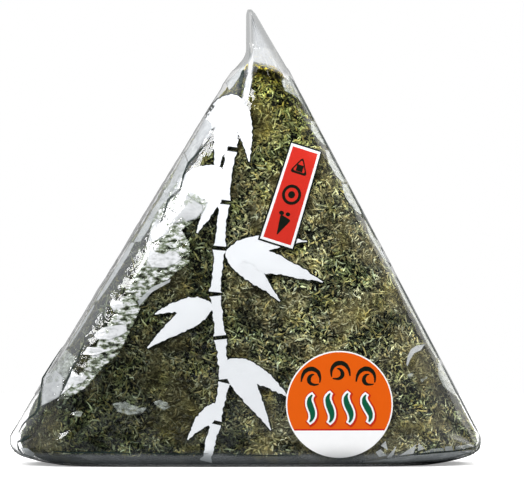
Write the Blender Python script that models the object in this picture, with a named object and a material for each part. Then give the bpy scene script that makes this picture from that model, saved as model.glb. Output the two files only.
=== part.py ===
"""A shop-wrapped onigiri rice ball: a triangular rice ball in seaweed, sealed in a clear film pack, stood on its base.

The pack is one solid out to the film: the wrapped food, the two empty film corners and the gathered peak.
The round flavour sticker on the front is a second solid. Metres, +Z up, front towards -Y, origin under the
middle of the base.
"""

import math

import bmesh
import bpy
from mathutils import Vector

MM = 0.001

# Driving dimensions
PACK_WIDTH = 98 * MM
PACK_HEIGHT = 95 * MM
PACK_DEPTH = 33 * MM

# The front view: two straight sides that lean in to the shoulder, where the food ends and the peak begins
CORNER_HEIGHT = 5.8 * MM
CORNER_REACH = 11 * MM
CORNER_POWER = 3.5
SHOULDER_HEIGHT = 81.7 * MM
SHOULDER_LEFT = -2.9 * MM
SHOULDER_RIGHT = 9.2 * MM
PEAK_LEFT = 0.2 * MM
TIP_RIGHT = 1.5 * MM
PINCH_HEIGHT = 5 * MM

# The side view: thick and rounded like the rice ball, then a flat fin of film
BASE_FILLET = 4 * MM
TAPER_START = 36 * MM
TAPER_END = 87 * MM
TAPER_POWER = 0.62
FIN_HALF_DEPTH = 1.7 * MM
TIP_HALF_DEPTH = 0.5 * MM

# The section at one height: a rectangle with elliptical edges and a crowned front and back, narrowed at the
# empty corners
EDGE_REACH = 10 * MM
EDGE_DEPTH = 7 * MM
CROWN = 2.5 * MM
EAR_LENGTH = 13 * MM
EAR_TOP = 26 * MM
EAR_PINCH = 0.5

# The film gathers into pleats round the neck of the peak
PLEATS = 14
PLEAT_DEPTH = 0.55 * MM
PLEAT_START = 66 * MM

# How finely the faceted skin is divided
SIDE_STEPS, ARC_STEPS, FRONT_STEPS = 5, 7, 13
BASE_LEVELS, BODY_LEVELS, PEAK_LEVELS = 7, 19, 9

STICKER_RADIUS = 11.1 * MM
STICKER_PLACE = (19.1 * MM, 13.1 * MM)
STICKER_THICKNESS = 0.25 * MM
STICKER_GAP = 0.3 * MM
STICKER_SEGMENTS = 56
STICKER_RINGS = 7

SEAWEED_GREEN = (0.062, 0.068, 0.036, 1.0)
STICKER_ORANGE = (0.79, 0.095, 0.005, 1.0)


def clear_scene():
    for thing in list(bpy.data.objects):
        bpy.data.objects.remove(thing)


def mix(first, second, share):
    return first + (second - first) * share


def quarter_round(height, rise):
    """0 at the foot of a quarter circle of this height and 1 at its top."""
    left = max(0.0, 1 - height / rise)
    return math.sqrt(1 - left * left)


def edges(height):
    """The left and right edge of the pack in the front view."""
    corner = PACK_WIDTH / 2
    share = (height - CORNER_HEIGHT) / (SHOULDER_HEIGHT - CORNER_HEIGHT)
    if share <= 0:
        reach = corner - CORNER_REACH * (1 - height / CORNER_HEIGHT) ** CORNER_POWER
        return -reach, reach
    if share <= 1:
        return mix(-corner, SHOULDER_LEFT, share), mix(corner, SHOULDER_RIGHT, share)
    above = height - SHOULDER_HEIGHT
    slack = max(0.0, 1 - above / PINCH_HEIGHT) ** 2
    left = mix(PEAK_LEFT, SHOULDER_LEFT, slack)
    right = mix(SHOULDER_RIGHT, TIP_RIGHT, above / (PACK_HEIGHT - SHOULDER_HEIGHT))
    return left, right


def half_depth(height):
    """Half the pack's thickness along its middle."""
    full = PACK_DEPTH / 2
    if height < BASE_FILLET:
        return full - BASE_FILLET * (1 - quarter_round(height, BASE_FILLET))
    share = min(1.0, max(0.0, height - TAPER_START) / (TAPER_END - TAPER_START))
    food = full * (1 - share * share) ** TAPER_POWER
    up_fin = max(0.0, height - SHOULDER_HEIGHT) / (PACK_HEIGHT - SHOULDER_HEIGHT)
    return max(food, mix(FIN_HALF_DEPTH, TIP_HALF_DEPTH, up_fin))


def ear_share(height):
    """1 where the film corners are empty, fading out up the sides."""
    share = abs(height - CORNER_HEIGHT) / (EAR_TOP - CORNER_HEIGHT)
    return max(0.0, 1 - share) ** 2


def pleat_depth(height):
    """How deep the pleats are: none on the food's flat front, deepest at the neck, shallow at the tip."""
    if height < SHOULDER_HEIGHT:
        return PLEAT_DEPTH * max(0.0, (height - PLEAT_START) / (SHOULDER_HEIGHT - PLEAT_START)) ** 2
    return PLEAT_DEPTH * mix(1.0, 0.25, (height - SHOULDER_HEIGHT) / (PACK_HEIGHT - SHOULDER_HEIGHT))


def within(limit, room):
    """Near the limit where there is plenty of room, and always less than the room."""
    return limit * (1 - math.exp(-room / limit))


def quarter_section(half_x, half_y):
    """One quarter of the section, from the side round to the front."""
    crown = within(CROWN, half_y * 0.1)
    reach, depth = within(EDGE_REACH, half_x), within(EDGE_DEPTH, half_y - crown)
    straight_x, straight_y = half_x - reach, half_y - crown - depth
    side = [(half_x, straight_y * i / SIDE_STEPS) for i in range(SIDE_STEPS)]
    turns = [math.pi / 2 * i / ARC_STEPS for i in range(ARC_STEPS)]
    arc = [(straight_x + reach * math.cos(t), straight_y + depth * math.sin(t)) for t in turns]
    shares = [1 - i / FRONT_STEPS for i in range(FRONT_STEPS)]
    front = [(straight_x * s, half_y - crown * s * s) for s in shares]
    return side + arc + front


def section(height):
    """The pack's outline at one height, anticlockwise from its right side."""
    left, right = edges(height)
    half_x, middle, half_y = (right - left) / 2, (right + left) / 2, half_depth(height)
    quarter = quarter_section(half_x, half_y)
    mirrored = [(-x, y) for x, y in quarter]
    ahead = quarter + [(0, half_y)] + mirrored[:0:-1]
    around = ahead + [(-x, -y) for x, y in ahead]
    pinch = EAR_PINCH * ear_share(height)
    points = []
    for number, (x, y) in enumerate(around):
        into_ear = max(0.0, abs(x) - (half_x - EAR_LENGTH)) / EAR_LENGTH
        narrowing = 1 - pinch * into_ear**1.5
        turn = 2 * math.pi * PLEATS * number / len(around)
        sunk = min(pleat_depth(height), half_y * 0.3) * (1 - math.cos(turn)) / 2
        inward = 1 - sunk / math.hypot(x, y)
        points.append(Vector((middle + x * inward, y * narrowing * inward, height)))
    return points


def front_of_pack(x, height):
    """How far the front stands ahead of the pack's middle plane, away from its edges."""
    left, right = edges(height)
    half_x = (right - left) / 2
    across = (x - (right + left) / 2) / (half_x - within(EDGE_REACH, half_x))
    half_y = half_depth(height)
    return half_y - within(CROWN, half_y * 0.1) * across * across


def levels():
    """The heights of the sections: close together round the base and in the peak."""
    base = [CORNER_HEIGHT * (1 - math.cos(math.pi / 2 * i / BASE_LEVELS)) for i in range(BASE_LEVELS)]
    body = [mix(CORNER_HEIGHT, SHOULDER_HEIGHT, i / BODY_LEVELS) for i in range(BODY_LEVELS)]
    peak = [mix(SHOULDER_HEIGHT, PACK_HEIGHT, i / PEAK_LEVELS) for i in range(PEAK_LEVELS + 1)]
    return base + body + peak


def material(name, colour, roughness):
    made = bpy.data.materials.new(name)
    made.use_nodes = True
    shader = made.node_tree.nodes["Principled BSDF"]
    shader.inputs["Base Color"].default_value = colour
    shader.inputs["Roughness"].default_value = roughness
    shader.inputs["Metallic"].default_value = 0.0
    return made


def finished(name, bm, surface):
    """The bmesh as a smooth-shaded object."""
    mesh = bpy.data.meshes.new(name)
    bm.to_mesh(mesh)
    bm.free()
    mesh.materials.append(surface)
    mesh.shade_smooth()
    mesh.set_sharp_from_angle(angle=math.radians(40))
    made = bpy.data.objects.new(name, mesh)
    bpy.context.scene.collection.objects.link(made)
    return made


def film_pack():
    """The whole pack, extruded up through its sections from the flat base to the tip."""
    rings = [section(height) for height in levels()]
    bm = bmesh.new()
    bmesh.ops.create_circle(bm, segments=len(rings[0]), radius=1, cap_ends=True)
    face = bm.faces[:][0]
    for corner, point in zip(face.verts, rings[0]):
        corner.co = point
    for ring in rings[1:]:
        face = bmesh.ops.extrude_discrete_faces(bm, faces=[face])["faces"][0]
        for corner, point in zip(face.verts, ring):
            corner.co = point
    bmesh.ops.holes_fill(bm, edges=bm.edges)
    bmesh.ops.recalc_face_normals(bm, faces=bm.faces)
    return finished("film_pack", bm, material("seaweed_under_film", SEAWEED_GREEN, 0.35))


def round_sticker():
    """A thin disc that follows the front and bends round the foot of the pack."""
    bm = bmesh.new()
    bmesh.ops.create_circle(bm, segments=STICKER_SEGMENTS, radius=STICKER_RADIUS, cap_ends=True)
    for _ in range(STICKER_RINGS):
        centre = [f for f in bm.faces if len(f.verts) == STICKER_SEGMENTS]
        bmesh.ops.inset_region(bm, faces=centre, thickness=STICKER_RADIUS / (STICKER_RINGS + 1))
    place_x, place_z = STICKER_PLACE
    for vert in bm.verts:
        x, height = place_x + vert.co.x, place_z + vert.co.y
        vert.co = Vector((x, -front_of_pack(x, height) - STICKER_GAP - STICKER_THICKNESS, height))
    bm.normal_update()
    bmesh.ops.solidify(bm, geom=bm.faces[:], thickness=STICKER_THICKNESS)
    return finished("round_sticker", bm, material("sticker_face", STICKER_ORANGE, 0.4))


def main():
    clear_scene()
    film_pack()
    round_sticker()


main()
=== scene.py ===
# %% [markdown]
# # A shop-wrapped onigiri, dressed
#
# An onigiri is a pressed triangle of rice inside a sheet of roasted seaweed. A shop seals it in clear film whose
# top is gathered into a thin peak. The imported model gives the solid pack and its round sticker. This script
# dresses them: a seaweed-covered body, thousands of pressed seaweed strands, the clear film with its folds, painted
# highlights, reflections and shade laid on the film, the printed sprig and label, and the printed sticker.

import math
import random

import bmesh
import bpy
import numpy as np
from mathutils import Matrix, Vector, noise


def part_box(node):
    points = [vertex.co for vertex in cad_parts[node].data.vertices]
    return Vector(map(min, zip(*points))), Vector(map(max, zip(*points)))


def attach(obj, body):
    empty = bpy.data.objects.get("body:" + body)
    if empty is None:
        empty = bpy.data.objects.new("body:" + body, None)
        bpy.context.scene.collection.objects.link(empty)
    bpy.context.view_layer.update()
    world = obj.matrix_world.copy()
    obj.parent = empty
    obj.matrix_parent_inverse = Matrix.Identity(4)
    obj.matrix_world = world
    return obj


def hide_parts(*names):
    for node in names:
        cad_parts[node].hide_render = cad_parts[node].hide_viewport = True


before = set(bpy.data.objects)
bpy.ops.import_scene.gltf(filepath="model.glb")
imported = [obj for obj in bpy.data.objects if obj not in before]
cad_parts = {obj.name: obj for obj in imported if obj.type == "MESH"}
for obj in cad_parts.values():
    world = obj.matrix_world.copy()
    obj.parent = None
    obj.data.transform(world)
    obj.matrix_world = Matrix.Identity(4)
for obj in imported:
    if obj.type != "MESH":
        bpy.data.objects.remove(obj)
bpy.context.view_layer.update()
pack_low, pack_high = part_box("film_pack")
print("pack", [round(v * 1000, 1) for v in pack_high - pack_low], "mm")

# %% [markdown]
# ## Driving dimensions
#
# Blender works in metres, so a millimetre is a named number. The pack's width, height and depth come from the
# loaded model. The rest are the pack's own proportions: where the empty film corners end, where the food ends and
# the peak begins, and how the thickness tapers. Keeping them as names lets every piece share one shape.

# %% Sizes shared by every piece
MM = 0.001
PACK_WIDTH = pack_high.x - pack_low.x
PACK_HEIGHT = pack_high.z
PACK_DEPTH = pack_high.y - pack_low.y

CORNER_HEIGHT = 5.8 * MM
CORNER_REACH = 11 * MM
CORNER_POWER = 3.5
SHOULDER_HEIGHT = 81.7 * MM
SHOULDER_LEFT = -2.9 * MM
SHOULDER_RIGHT = 9.2 * MM
PEAK_LEFT = 0.2 * MM
TIP_RIGHT = 1.5 * MM
PINCH_HEIGHT = 5 * MM

BASE_FILLET = 4 * MM
TAPER_START = 36 * MM
TAPER_END = 87 * MM
TAPER_POWER = 0.62
FIN_HALF_DEPTH = 1.7 * MM
TIP_HALF_DEPTH = 0.5 * MM

EDGE_REACH = 10 * MM
EDGE_DEPTH = 7 * MM
CROWN = 2.5 * MM
EAR_LENGTH = 13 * MM
EAR_TOP = 26 * MM
EAR_PINCH = 0.5

# %% [markdown]
# ## The camera
#
# The pack is seen straight on from just above its base line. A long lens far away keeps the straight sides of the
# film straight, as a product photographer would.

# %% Camera
IMAGE_WIDTH_AT_PACK = 109.3 * MM
VIEW_CENTRE = Vector((3.5 * MM, 0, 45.9 * MM))
VIEW_AZIMUTH = math.radians(-1.5)
VIEW_ELEVATION = math.radians(1.5)
LENS = 700


def from_front(azimuth, elevation):
    """The direction that a viewer at this azimuth (to the right) and elevation looks from."""
    flat = math.cos(elevation)
    return Vector((math.sin(azimuth) * flat, -math.cos(azimuth) * flat, math.sin(elevation)))


def aim(thing, place, target):
    thing.location = place
    thing.rotation_euler = (target - place).to_track_quat("-Z", "Y").to_euler()


camera_data = bpy.data.cameras.new("studio_camera")
camera_data.lens = LENS
camera = bpy.data.objects.new("studio_camera", camera_data)
bpy.context.scene.collection.objects.link(camera)
distance = IMAGE_WIDTH_AT_PACK * LENS / camera_data.sensor_width
aim(camera, VIEW_CENTRE + from_front(VIEW_AZIMUTH, VIEW_ELEVATION) * distance, VIEW_CENTRE)
bpy.context.scene.camera = camera
bpy.context.scene.view_settings.view_transform = "Standard"
print("camera distance", round(distance, 3), "m")

# %% [markdown]
# ## The studio
#
# Clear film is seen mostly by what it mirrors. A tall softbox at the front left draws the broad white band down
# the left edge, and painted highlight sheets on the film add to it. A panel at the right, a little behind, draws the
# smooth grey band down the right edge, with painted reflection strips added. A top light fills the seaweed and whitens
# the floor. The camera itself sees a white backdrop, while reflections see dim walls, which keeps the seaweed's blacks
# deep.

# %% Lights
def softbox(name, azimuth, elevation, distance, width, height, radiance, colour=(1, 1, 1), mirrored=True):
    """A rectangular lamp of this brightness, aimed at the middle of the pack; mirrored ones show in the film."""
    data = bpy.data.lights.new(name, "AREA")
    data.shape = "RECTANGLE"
    data.size, data.size_y = width, height
    data.energy = radiance * math.pi * width * height
    data.color = colour
    lamp = bpy.data.objects.new(name, data)
    bpy.context.scene.collection.objects.link(lamp)
    target = Vector((0, 0, PACK_HEIGHT / 2))
    aim(lamp, target + from_front(math.radians(azimuth), math.radians(elevation)) * distance, target)
    lamp.visible_camera = False
    lamp.visible_glossy = mirrored
    return lamp


softbox("front_left_softbox", -42, 36, 0.8, 0.40, 0.50, 9.6)
softbox("right_panel", 108, 28, 0.8, 0.5, 0.7, 1.2, (1.0, 0.99, 0.93))
softbox("top_light", 10, 78, 0.9, 0.8, 0.8, 4.5, mirrored=False)
softbox("front_right_key", 40, 32, 1.0, 0.2, 0.2, 32.0, mirrored=False)


# %% World
def studio_world():
    """White to the camera; to reflections dim walls, brighter at the sides and white above the back."""
    world = bpy.data.worlds.new("studio_walls")
    world.use_nodes = True
    nodes, links = world.node_tree.nodes, world.node_tree.links
    nodes.clear()
    direction = nodes.new("ShaderNodeTexCoord")
    split = nodes.new("ShaderNodeSeparateXYZ")
    sideways = nodes.new("ShaderNodeMath")
    sideways.operation = "ABSOLUTE"
    wall = nodes.new("ShaderNodeMapRange")
    wall.inputs["From Min"].default_value = 0.45
    wall.inputs["From Max"].default_value = 0.95
    wall.inputs["To Min"].default_value = 0.03
    wall.inputs["To Max"].default_value = 0.6
    up, back = nodes.new("ShaderNodeMapRange"), nodes.new("ShaderNodeMapRange")
    up.inputs["From Min"].default_value, up.inputs["From Max"].default_value = 0.25, 0.6
    back.inputs["From Min"].default_value, back.inputs["From Max"].default_value = -0.1, 0.3
    side_back, behind = nodes.new("ShaderNodeMapRange"), nodes.new("ShaderNodeMapRange")
    side_back.inputs["From Min"].default_value, side_back.inputs["From Max"].default_value = 0.04, 0.3
    side_back.inputs["To Max"].default_value = 0.6
    behind.inputs["From Min"].default_value, behind.inputs["From Max"].default_value = 0.3, 0.7
    sky, rear = nodes.new("ShaderNodeMath"), nodes.new("ShaderNodeMath")
    sky.operation = rear.operation = "MULTIPLY"
    brighter, brightest = nodes.new("ShaderNodeMath"), nodes.new("ShaderNodeMath")
    brighter.operation = brightest.operation = "MAXIMUM"
    reflected = nodes.new("ShaderNodeBackground")
    backdrop = nodes.new("ShaderNodeBackground")
    backdrop.inputs["Color"].default_value = (1, 1, 1, 1)
    path = nodes.new("ShaderNodeLightPath")
    choose = nodes.new("ShaderNodeMixShader")
    output = nodes.new("ShaderNodeOutputWorld")
    links.new(direction.outputs["Generated"], split.inputs[0])
    links.new(split.outputs["X"], sideways.inputs[0])
    links.new(sideways.outputs[0], wall.inputs["Value"])
    links.new(split.outputs["Z"], up.inputs["Value"])
    links.new(split.outputs["Y"], back.inputs["Value"])
    links.new(up.outputs[0], sky.inputs[0])
    links.new(back.outputs[0], sky.inputs[1])
    links.new(sideways.outputs[0], side_back.inputs["Value"])
    links.new(split.outputs["Y"], behind.inputs["Value"])
    links.new(side_back.outputs[0], rear.inputs[0])
    links.new(behind.outputs[0], rear.inputs[1])
    links.new(wall.outputs[0], brighter.inputs[0])
    links.new(rear.outputs[0], brighter.inputs[1])
    links.new(brighter.outputs[0], brightest.inputs[0])
    links.new(sky.outputs[0], brightest.inputs[1])
    links.new(brightest.outputs[0], reflected.inputs["Strength"])
    links.new(path.outputs["Is Camera Ray"], choose.inputs[0])
    links.new(reflected.outputs[0], choose.inputs[1])
    links.new(backdrop.outputs[0], choose.inputs[2])
    links.new(choose.outputs[0], output.inputs["Surface"])
    bpy.context.scene.world = world


studio_world()

# %% [markdown]
# ## Helpers for materials
#
# Most finishes are one Principled shader with a few textures in front of it. These helpers add a node, set its
# sockets and link it in one line, so that each material below reads as a short recipe.

# %% Node helpers
def add_node(tree, kind, values=(), links=(), **settings):
    """A node with its settings, socket values and incoming links, each by socket name or number."""
    node = tree.nodes.new("ShaderNode" + kind)
    for name, value in settings.items():
        setattr(node, name, value)
    for socket, value in dict(values).items():
        node.inputs[socket].default_value = value
    for socket, source in dict(links).items():
        tree.links.new(source, node.inputs[socket])
    return node


def maths(tree, operation, first, second=0.5, clamp=False):
    """A Math node's result; each operand is a number or another node's output."""
    node = tree.nodes.new("ShaderNodeMath")
    node.operation = operation
    node.use_clamp = clamp
    for socket, operand in zip(node.inputs, (first, second)):
        if isinstance(operand, (int, float)):
            socket.default_value = operand
        else:
            tree.links.new(operand, socket)
    return node.outputs[0]


def mixed(tree, share, first, second):
    """A colour mix; share, first and second are each a value or another node's output."""
    node = tree.nodes.new("ShaderNodeMix")
    node.data_type = "RGBA"
    for name, operand in (("Factor_Float", share), ("A_Color", first), ("B_Color", second)):
        socket = next(s for s in node.inputs if s.identifier == name)
        if isinstance(operand, bpy.types.NodeSocket):
            tree.links.new(operand, socket)
        else:
            socket.default_value = operand
    return next(s for s in node.outputs if s.identifier == "Result_Color")


def new_material(name, **sockets):
    """A material, its tree and its Principled shader with these plain socket values."""
    material = bpy.data.materials.new(name)
    material.use_nodes = True
    tree = material.node_tree
    shader = tree.nodes["Principled BSDF"]
    for socket, value in sockets.items():
        shader.inputs[socket.replace("_", " ")].default_value = value
    return material, tree, shader


# %% [markdown]
# ## The floor
#
# A plain pale sheet of studio paper, bright enough to join the white backdrop, with only a soft contact shadow. To
# everything but the camera it is dim, as if the pack stood on a dark card, so that neither its mirror image in the
# film nor its bounced light washes out the seaweed.

# %% Floor
def studio_floor():
    bm = bmesh.new()
    bmesh.ops.create_circle(bm, segments=96, radius=0.36, cap_ends=True)
    for _ in range(3):
        middle = max(bm.faces, key=lambda f: len(f.verts))
        bmesh.ops.inset_region(bm, faces=[middle], thickness=0.09, use_boundary=True)
    mesh = bpy.data.meshes.new("studio_floor")
    bm.to_mesh(mesh)
    bm.free()
    floor = bpy.data.objects.new("studio_floor", mesh)
    bpy.context.scene.collection.objects.link(floor)
    material, tree, paper = new_material("studio_paper", Base_Color=(0.93, 0.93, 0.93, 1), Roughness=0.9)
    paper.inputs["Emission Color"].default_value = (1, 1, 1, 1)
    paper.inputs["Emission Strength"].default_value = 0.3
    dim = add_node(tree, "BsdfDiffuse", {"Color": (0.12, 0.13, 0.13, 1)})
    seen_directly = add_node(tree, "LightPath").outputs["Is Camera Ray"]
    seen = add_node(tree, "MixShader", (), {0: seen_directly, 1: dim.outputs[0], 2: paper.outputs[0]})
    tree.links.new(seen.outputs[0], tree.nodes["Material Output"].inputs["Surface"])
    mesh.materials.append(material)


studio_floor()

# %% [markdown]
# ## The pack's shape as a formula
#
# At each height the pack is a rectangle with elliptical edges and a slightly crowned front and back. Its width
# follows the two straight sides, its depth follows the rice ball and then a flat fin of film, and the empty film
# corners are pinched. Working it out with numpy gives a whole grid of points at once. `turn` runs from 0 to 1 round
# the pack, anticlockwise from the middle of its right side.

# %% Outline functions
def mix(first, second, share):
    return first + (second - first) * share


def smooth(low, high, value):
    """0 below low and 1 above high, with an eased step between; low may be the larger one."""
    share = np.clip((value - low) / (high - low), 0, 1)
    return share * share * (3 - 2 * share)


def edges(height):
    """The left and right edge of the pack in the front view."""
    corner = PACK_WIDTH / 2
    below = corner - CORNER_REACH * np.clip(1 - height / CORNER_HEIGHT, 0, 1) ** CORNER_POWER
    share = (height - CORNER_HEIGHT) / (SHOULDER_HEIGHT - CORNER_HEIGHT)
    above = height - SHOULDER_HEIGHT
    slack = np.clip(1 - above / PINCH_HEIGHT, 0, 1) ** 2
    peak_left = mix(PEAK_LEFT, SHOULDER_LEFT, slack)
    peak_right = mix(SHOULDER_RIGHT, TIP_RIGHT, above / (PACK_HEIGHT - SHOULDER_HEIGHT))
    left = np.where(share <= 0, -below, np.where(share <= 1, mix(-corner, SHOULDER_LEFT, share), peak_left))
    right = np.where(share <= 0, below, np.where(share <= 1, mix(corner, SHOULDER_RIGHT, share), peak_right))
    return left, right


def half_depth(height):
    """Half the pack's thickness along its middle."""
    full = PACK_DEPTH / 2
    low = np.clip(1 - height / BASE_FILLET, 0, 1)
    share = np.clip((height - TAPER_START) / (TAPER_END - TAPER_START), 0, 1)
    food = full * (1 - share * share) ** TAPER_POWER
    up_fin = np.clip((height - SHOULDER_HEIGHT) / (PACK_HEIGHT - SHOULDER_HEIGHT), 0, 1)
    fin = mix(FIN_HALF_DEPTH, TIP_HALF_DEPTH, up_fin)
    return np.maximum(food, fin) - BASE_FILLET * (1 - np.sqrt(1 - low * low))


def within(limit, room):
    """Near the limit where there is plenty of room, and always less than the room."""
    return limit * (1 - np.exp(-room / limit))


def section_sizes(height):
    """Middle, half width, half depth, edge reach, edge depth and crown of the section at this height."""
    left, right = edges(height)
    half_x, half_y = (right - left) / 2, half_depth(height)
    crown = within(CROWN, half_y * 0.1)
    return (right + left) / 2, half_x, half_y, within(EDGE_REACH, half_x), within(EDGE_DEPTH, half_y - crown), crown


def ear_narrowing(across, half_x, height):
    """How much thinner the pack is towards its two empty bottom corners; across is measured from the middle."""
    share = np.clip(1 - np.abs(height - CORNER_HEIGHT) / (EAR_TOP - CORNER_HEIGHT), 0, 1) ** 2
    into_ear = np.clip(np.abs(across) - (half_x - EAR_LENGTH), 0, None) / EAR_LENGTH
    return 1 - EAR_PINCH * share * into_ear**1.5


SIDE_SHARE, EDGE_SHARE = 0.14, 0.4


def skin(turn, height, inset=0.0):
    """Points of the pack's skin, or of a smaller shape this far inside it, as an array of x, y, z rows."""
    middle, half_x, half_y, reach, depth, crown = section_sizes(height)
    half_x, half_y = np.maximum(half_x - inset, 0.3 * MM), np.maximum(half_y - inset, 0.2 * MM)
    reach, depth = np.minimum(reach, half_x * 0.98), np.minimum(depth, (half_y - crown) * 0.98)
    straight_x, straight_y = half_x - reach, half_y - crown - depth
    quarter = np.floor(turn * 4) % 4
    along = (turn * 4) % 1
    along = np.where(quarter % 2 == 1, 1 - along, along)
    angle = np.pi / 2 * np.clip((along - SIDE_SHARE) / (EDGE_SHARE - SIDE_SHARE), 0, 1)
    to_middle = 1 - np.clip((along - EDGE_SHARE) / (1 - EDGE_SHARE), 0, 1)
    x = straight_x * to_middle + reach * np.cos(angle)
    y = np.where(
        along < SIDE_SHARE,
        straight_y * along / SIDE_SHARE,
        np.where(along < EDGE_SHARE, straight_y + depth * np.sin(angle), half_y - crown * to_middle**2),
    )
    y = y * ear_narrowing(x, half_x, height)
    x = x * np.where((quarter == 1) | (quarter == 2), -1, 1)
    y = y * np.where(quarter >= 2, -1, 1)
    return np.stack([middle + x, y, height + 0 * x], axis=-1)


def front_skin(x, height):
    """The y of the pack's front at this x and height."""
    middle, half_x, half_y, reach, depth, crown = section_sizes(height)
    across = np.abs(x - middle)
    straight = half_x - reach
    on_face = half_y - crown * np.clip(across / straight, 0, 1) ** 2
    into_edge = np.clip((across - straight) / reach, 0, 1)
    on_edge = half_y - crown - depth * (1 - np.sqrt(1 - into_edge**2))
    return -np.where(across < straight, on_face, on_edge) * ear_narrowing(across, half_x, height)


print("front at mid height", round(float(front_skin(np.array(0.0), np.array(30 * MM))) * 1000, 2), "mm")

# %% [markdown]
# ## The film's folds
#
# Film is nearly inextensible, so it doesn't ripple softly: it breaks into flat facets between sharp creases. Taking
# the absolute value of smooth noise turns its zero lines into such creases. They fan out from the gathered neck and
# from both bottom corners, and they are finest along the edges. The same function places the film and everything
# printed on it.

# %% Film relief
NECK = Vector((3.2 * MM, 0, 84 * MM))
STICKER_CENTRE = (19.1 * MM, 13.1 * MM)
STICKER_RADIUS = 11.1 * MM


def crease(x, y, z=0.0):
    """Creases: 1 on the zero lines of smooth noise and falling off straight to both sides, down to 0."""
    return max(0.0, 1 - 2.6 * abs(noise.noise(Vector((x, y, z)))))


PEAK_FOLDS = [
    ((1.25, 94.5), (1.45, 84.5), 0.35, -0.22),
    ((1.3, 94.0), (2.6, 86.0), 0.45, 0.20),
    ((1.6, 93.5), (5.6, 83.0), 0.8, 0.22),
    ((1.2, 87.0), (-0.4, 75.5), 0.7, 0.45),
    ((-0.2, 83.6), (-4.2, 79.0), 0.9, 0.25),
    ((8.6, 82.0), (12.4, 73.0), 0.8, 0.30),
]


def off_line(x, z, start, end):
    """Distance in millimetres from the line between two points, all given in millimetres."""
    along_x, along_z = end[0] - start[0], end[1] - start[1]
    share = ((x - start[0]) * along_x + (z - start[1]) * along_z) / (along_x**2 + along_z**2)
    share = min(1.0, max(0.0, share))
    return math.hypot(x - start[0] - share * along_x, z - start[1] - share * along_z)


def film_relief(point):
    """How far the film stands out from the smooth skin at this point, in metres."""
    x, y, z = point
    left, right = (float(edge) for edge in edges(np.array(z)))
    from_edge = min(x - left, right - x)
    back = 7.3 if y > 0 else 0.0
    near_edge = float(smooth(11 * MM, 1 * MM, from_edge))
    waves = 0.10 * noise.noise(Vector((x, y, z)) / (13 * MM))
    fine = (0.05 + 0.10 * near_edge) * crease(x / (7 * MM), y / (7 * MM) + back, z / (9 * MM))
    neck_x, neck_z = x - NECK.x, NECK.z - z
    neck_far = math.hypot(neck_x, neck_z)
    neck_turn = math.atan2(neck_x, neck_z)
    neck_fade = float(smooth(22 * MM, 3 * MM, neck_far)) * float(smooth(86 * MM, 80 * MM, z))
    neck = 0.10 * neck_fade * crease(neck_turn * 2.6, neck_far / (26 * MM), back + y / (12 * MM))
    corners = 0.0
    for side in (-1, 1):
        corner_x, corner_z = side * PACK_WIDTH / 2 - x, z - 2 * MM
        corner_far = math.hypot(corner_x, corner_z)
        corner_turn = math.atan2(corner_z, side * corner_x)
        corner_fade = float(smooth(26 * MM, 3 * MM, corner_far))
        corners += 0.4 * corner_fade * crease(corner_turn * 3.1 + side, corner_far / (18 * MM), back + y / (11 * MM))
    base_fade = float(smooth(7 * MM, 2 * MM, z))
    base = 0.22 * base_fade * crease(x / (8 * MM), z / (5 * MM), back + 3)
    flat = float(smooth(0.0, 1.2 * MM, z)) * mix(0.3, 1.0, float(smooth(0.3 * MM, 2.5 * MM, from_edge)))
    if y < 0:
        off_sticker = math.hypot(x - STICKER_CENTRE[0], z - STICKER_CENTRE[1]) - STICKER_RADIUS
        flat *= mix(0.2, 1.0, float(smooth(-1 * MM, 2 * MM, off_sticker)))
    upright = float(smooth(8 * MM, 14 * MM, z)) * float(smooth(80 * MM, 74 * MM, z))
    ripple_fade = float(smooth(13 * MM, 5 * MM, x - left)) * upright
    spot = Vector((x / (2.7 * MM), y / (2.7 * MM), z / (3.2 * MM) + back))
    ripple = 0.42 * ripple_fade * (0.3 + abs(noise.noise(spot)) + 0.5 * abs(noise.noise(spot * 2.1)))
    right_fade = float(smooth(9 * MM, 3 * MM, right - x)) * upright
    ripple += 0.12 * right_fade * (0.2 + abs(noise.noise(spot * 0.8)))
    folds = 0.0
    if z > 70 * MM:
        for start, end, width, height in PEAK_FOLDS:
            share = off_line(x / MM, z / MM, start, end) / width
            folds += height * max(0.0, 1 - share) if share < 1 else 0.0
    tip = float(smooth(PACK_HEIGHT, PACK_HEIGHT - 7 * MM, z))
    return ((waves + fine + neck + corners + base + ripple - 0.06) * flat + folds) * MM * mix(0.3, 1.0, tip)


print("relief samples", [round(film_relief((x * MM, -16 * MM, 30 * MM)) * 1000, 3) for x in (-30, -10, 10)])

# %% [markdown]
# ## Wrapping a grid round the pack
#
# The body and the film are both a flat grid rolled into a tube. `create_grid` makes the grid, each vertex is given
# its turn and its height, the seam is welded, and the two open ends are filled.

# %% Wrapping helpers
def heights_between(stops):
    """Heights that run through the stops; each stop is a height and the number of rows up to the next one."""
    rows = []
    for (low, count), (high, _) in zip(stops, stops[1:]):
        rows += [mix(low, high, i / count) for i in range(count)]
    return np.array(rows + [stops[-1][0]])


def wrapped_grid(columns, heights, place):
    """A closed tube: place turns arrays of turn and height into points. Returns the bmesh."""
    rows = len(heights) - 1
    bm = bmesh.new()
    bmesh.ops.create_grid(bm, x_segments=columns, y_segments=rows, size=1)
    flat = np.array([v.co[:] for v in bm.verts])
    turns = (flat[:, 0] + 1) / 2
    levels = heights[np.rint((flat[:, 1] + 1) / 2 * rows).astype(int)]
    for vert, point in zip(bm.verts, place(turns, levels)):
        vert.co = point
    bmesh.ops.remove_doubles(bm, verts=bm.verts, dist=0.002 * MM)
    return bm


def fill_ends(bm):
    bmesh.ops.holes_fill(bm, edges=[e for e in bm.edges if e.is_boundary])
    bmesh.ops.recalc_face_normals(bm, faces=bm.faces)


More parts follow.
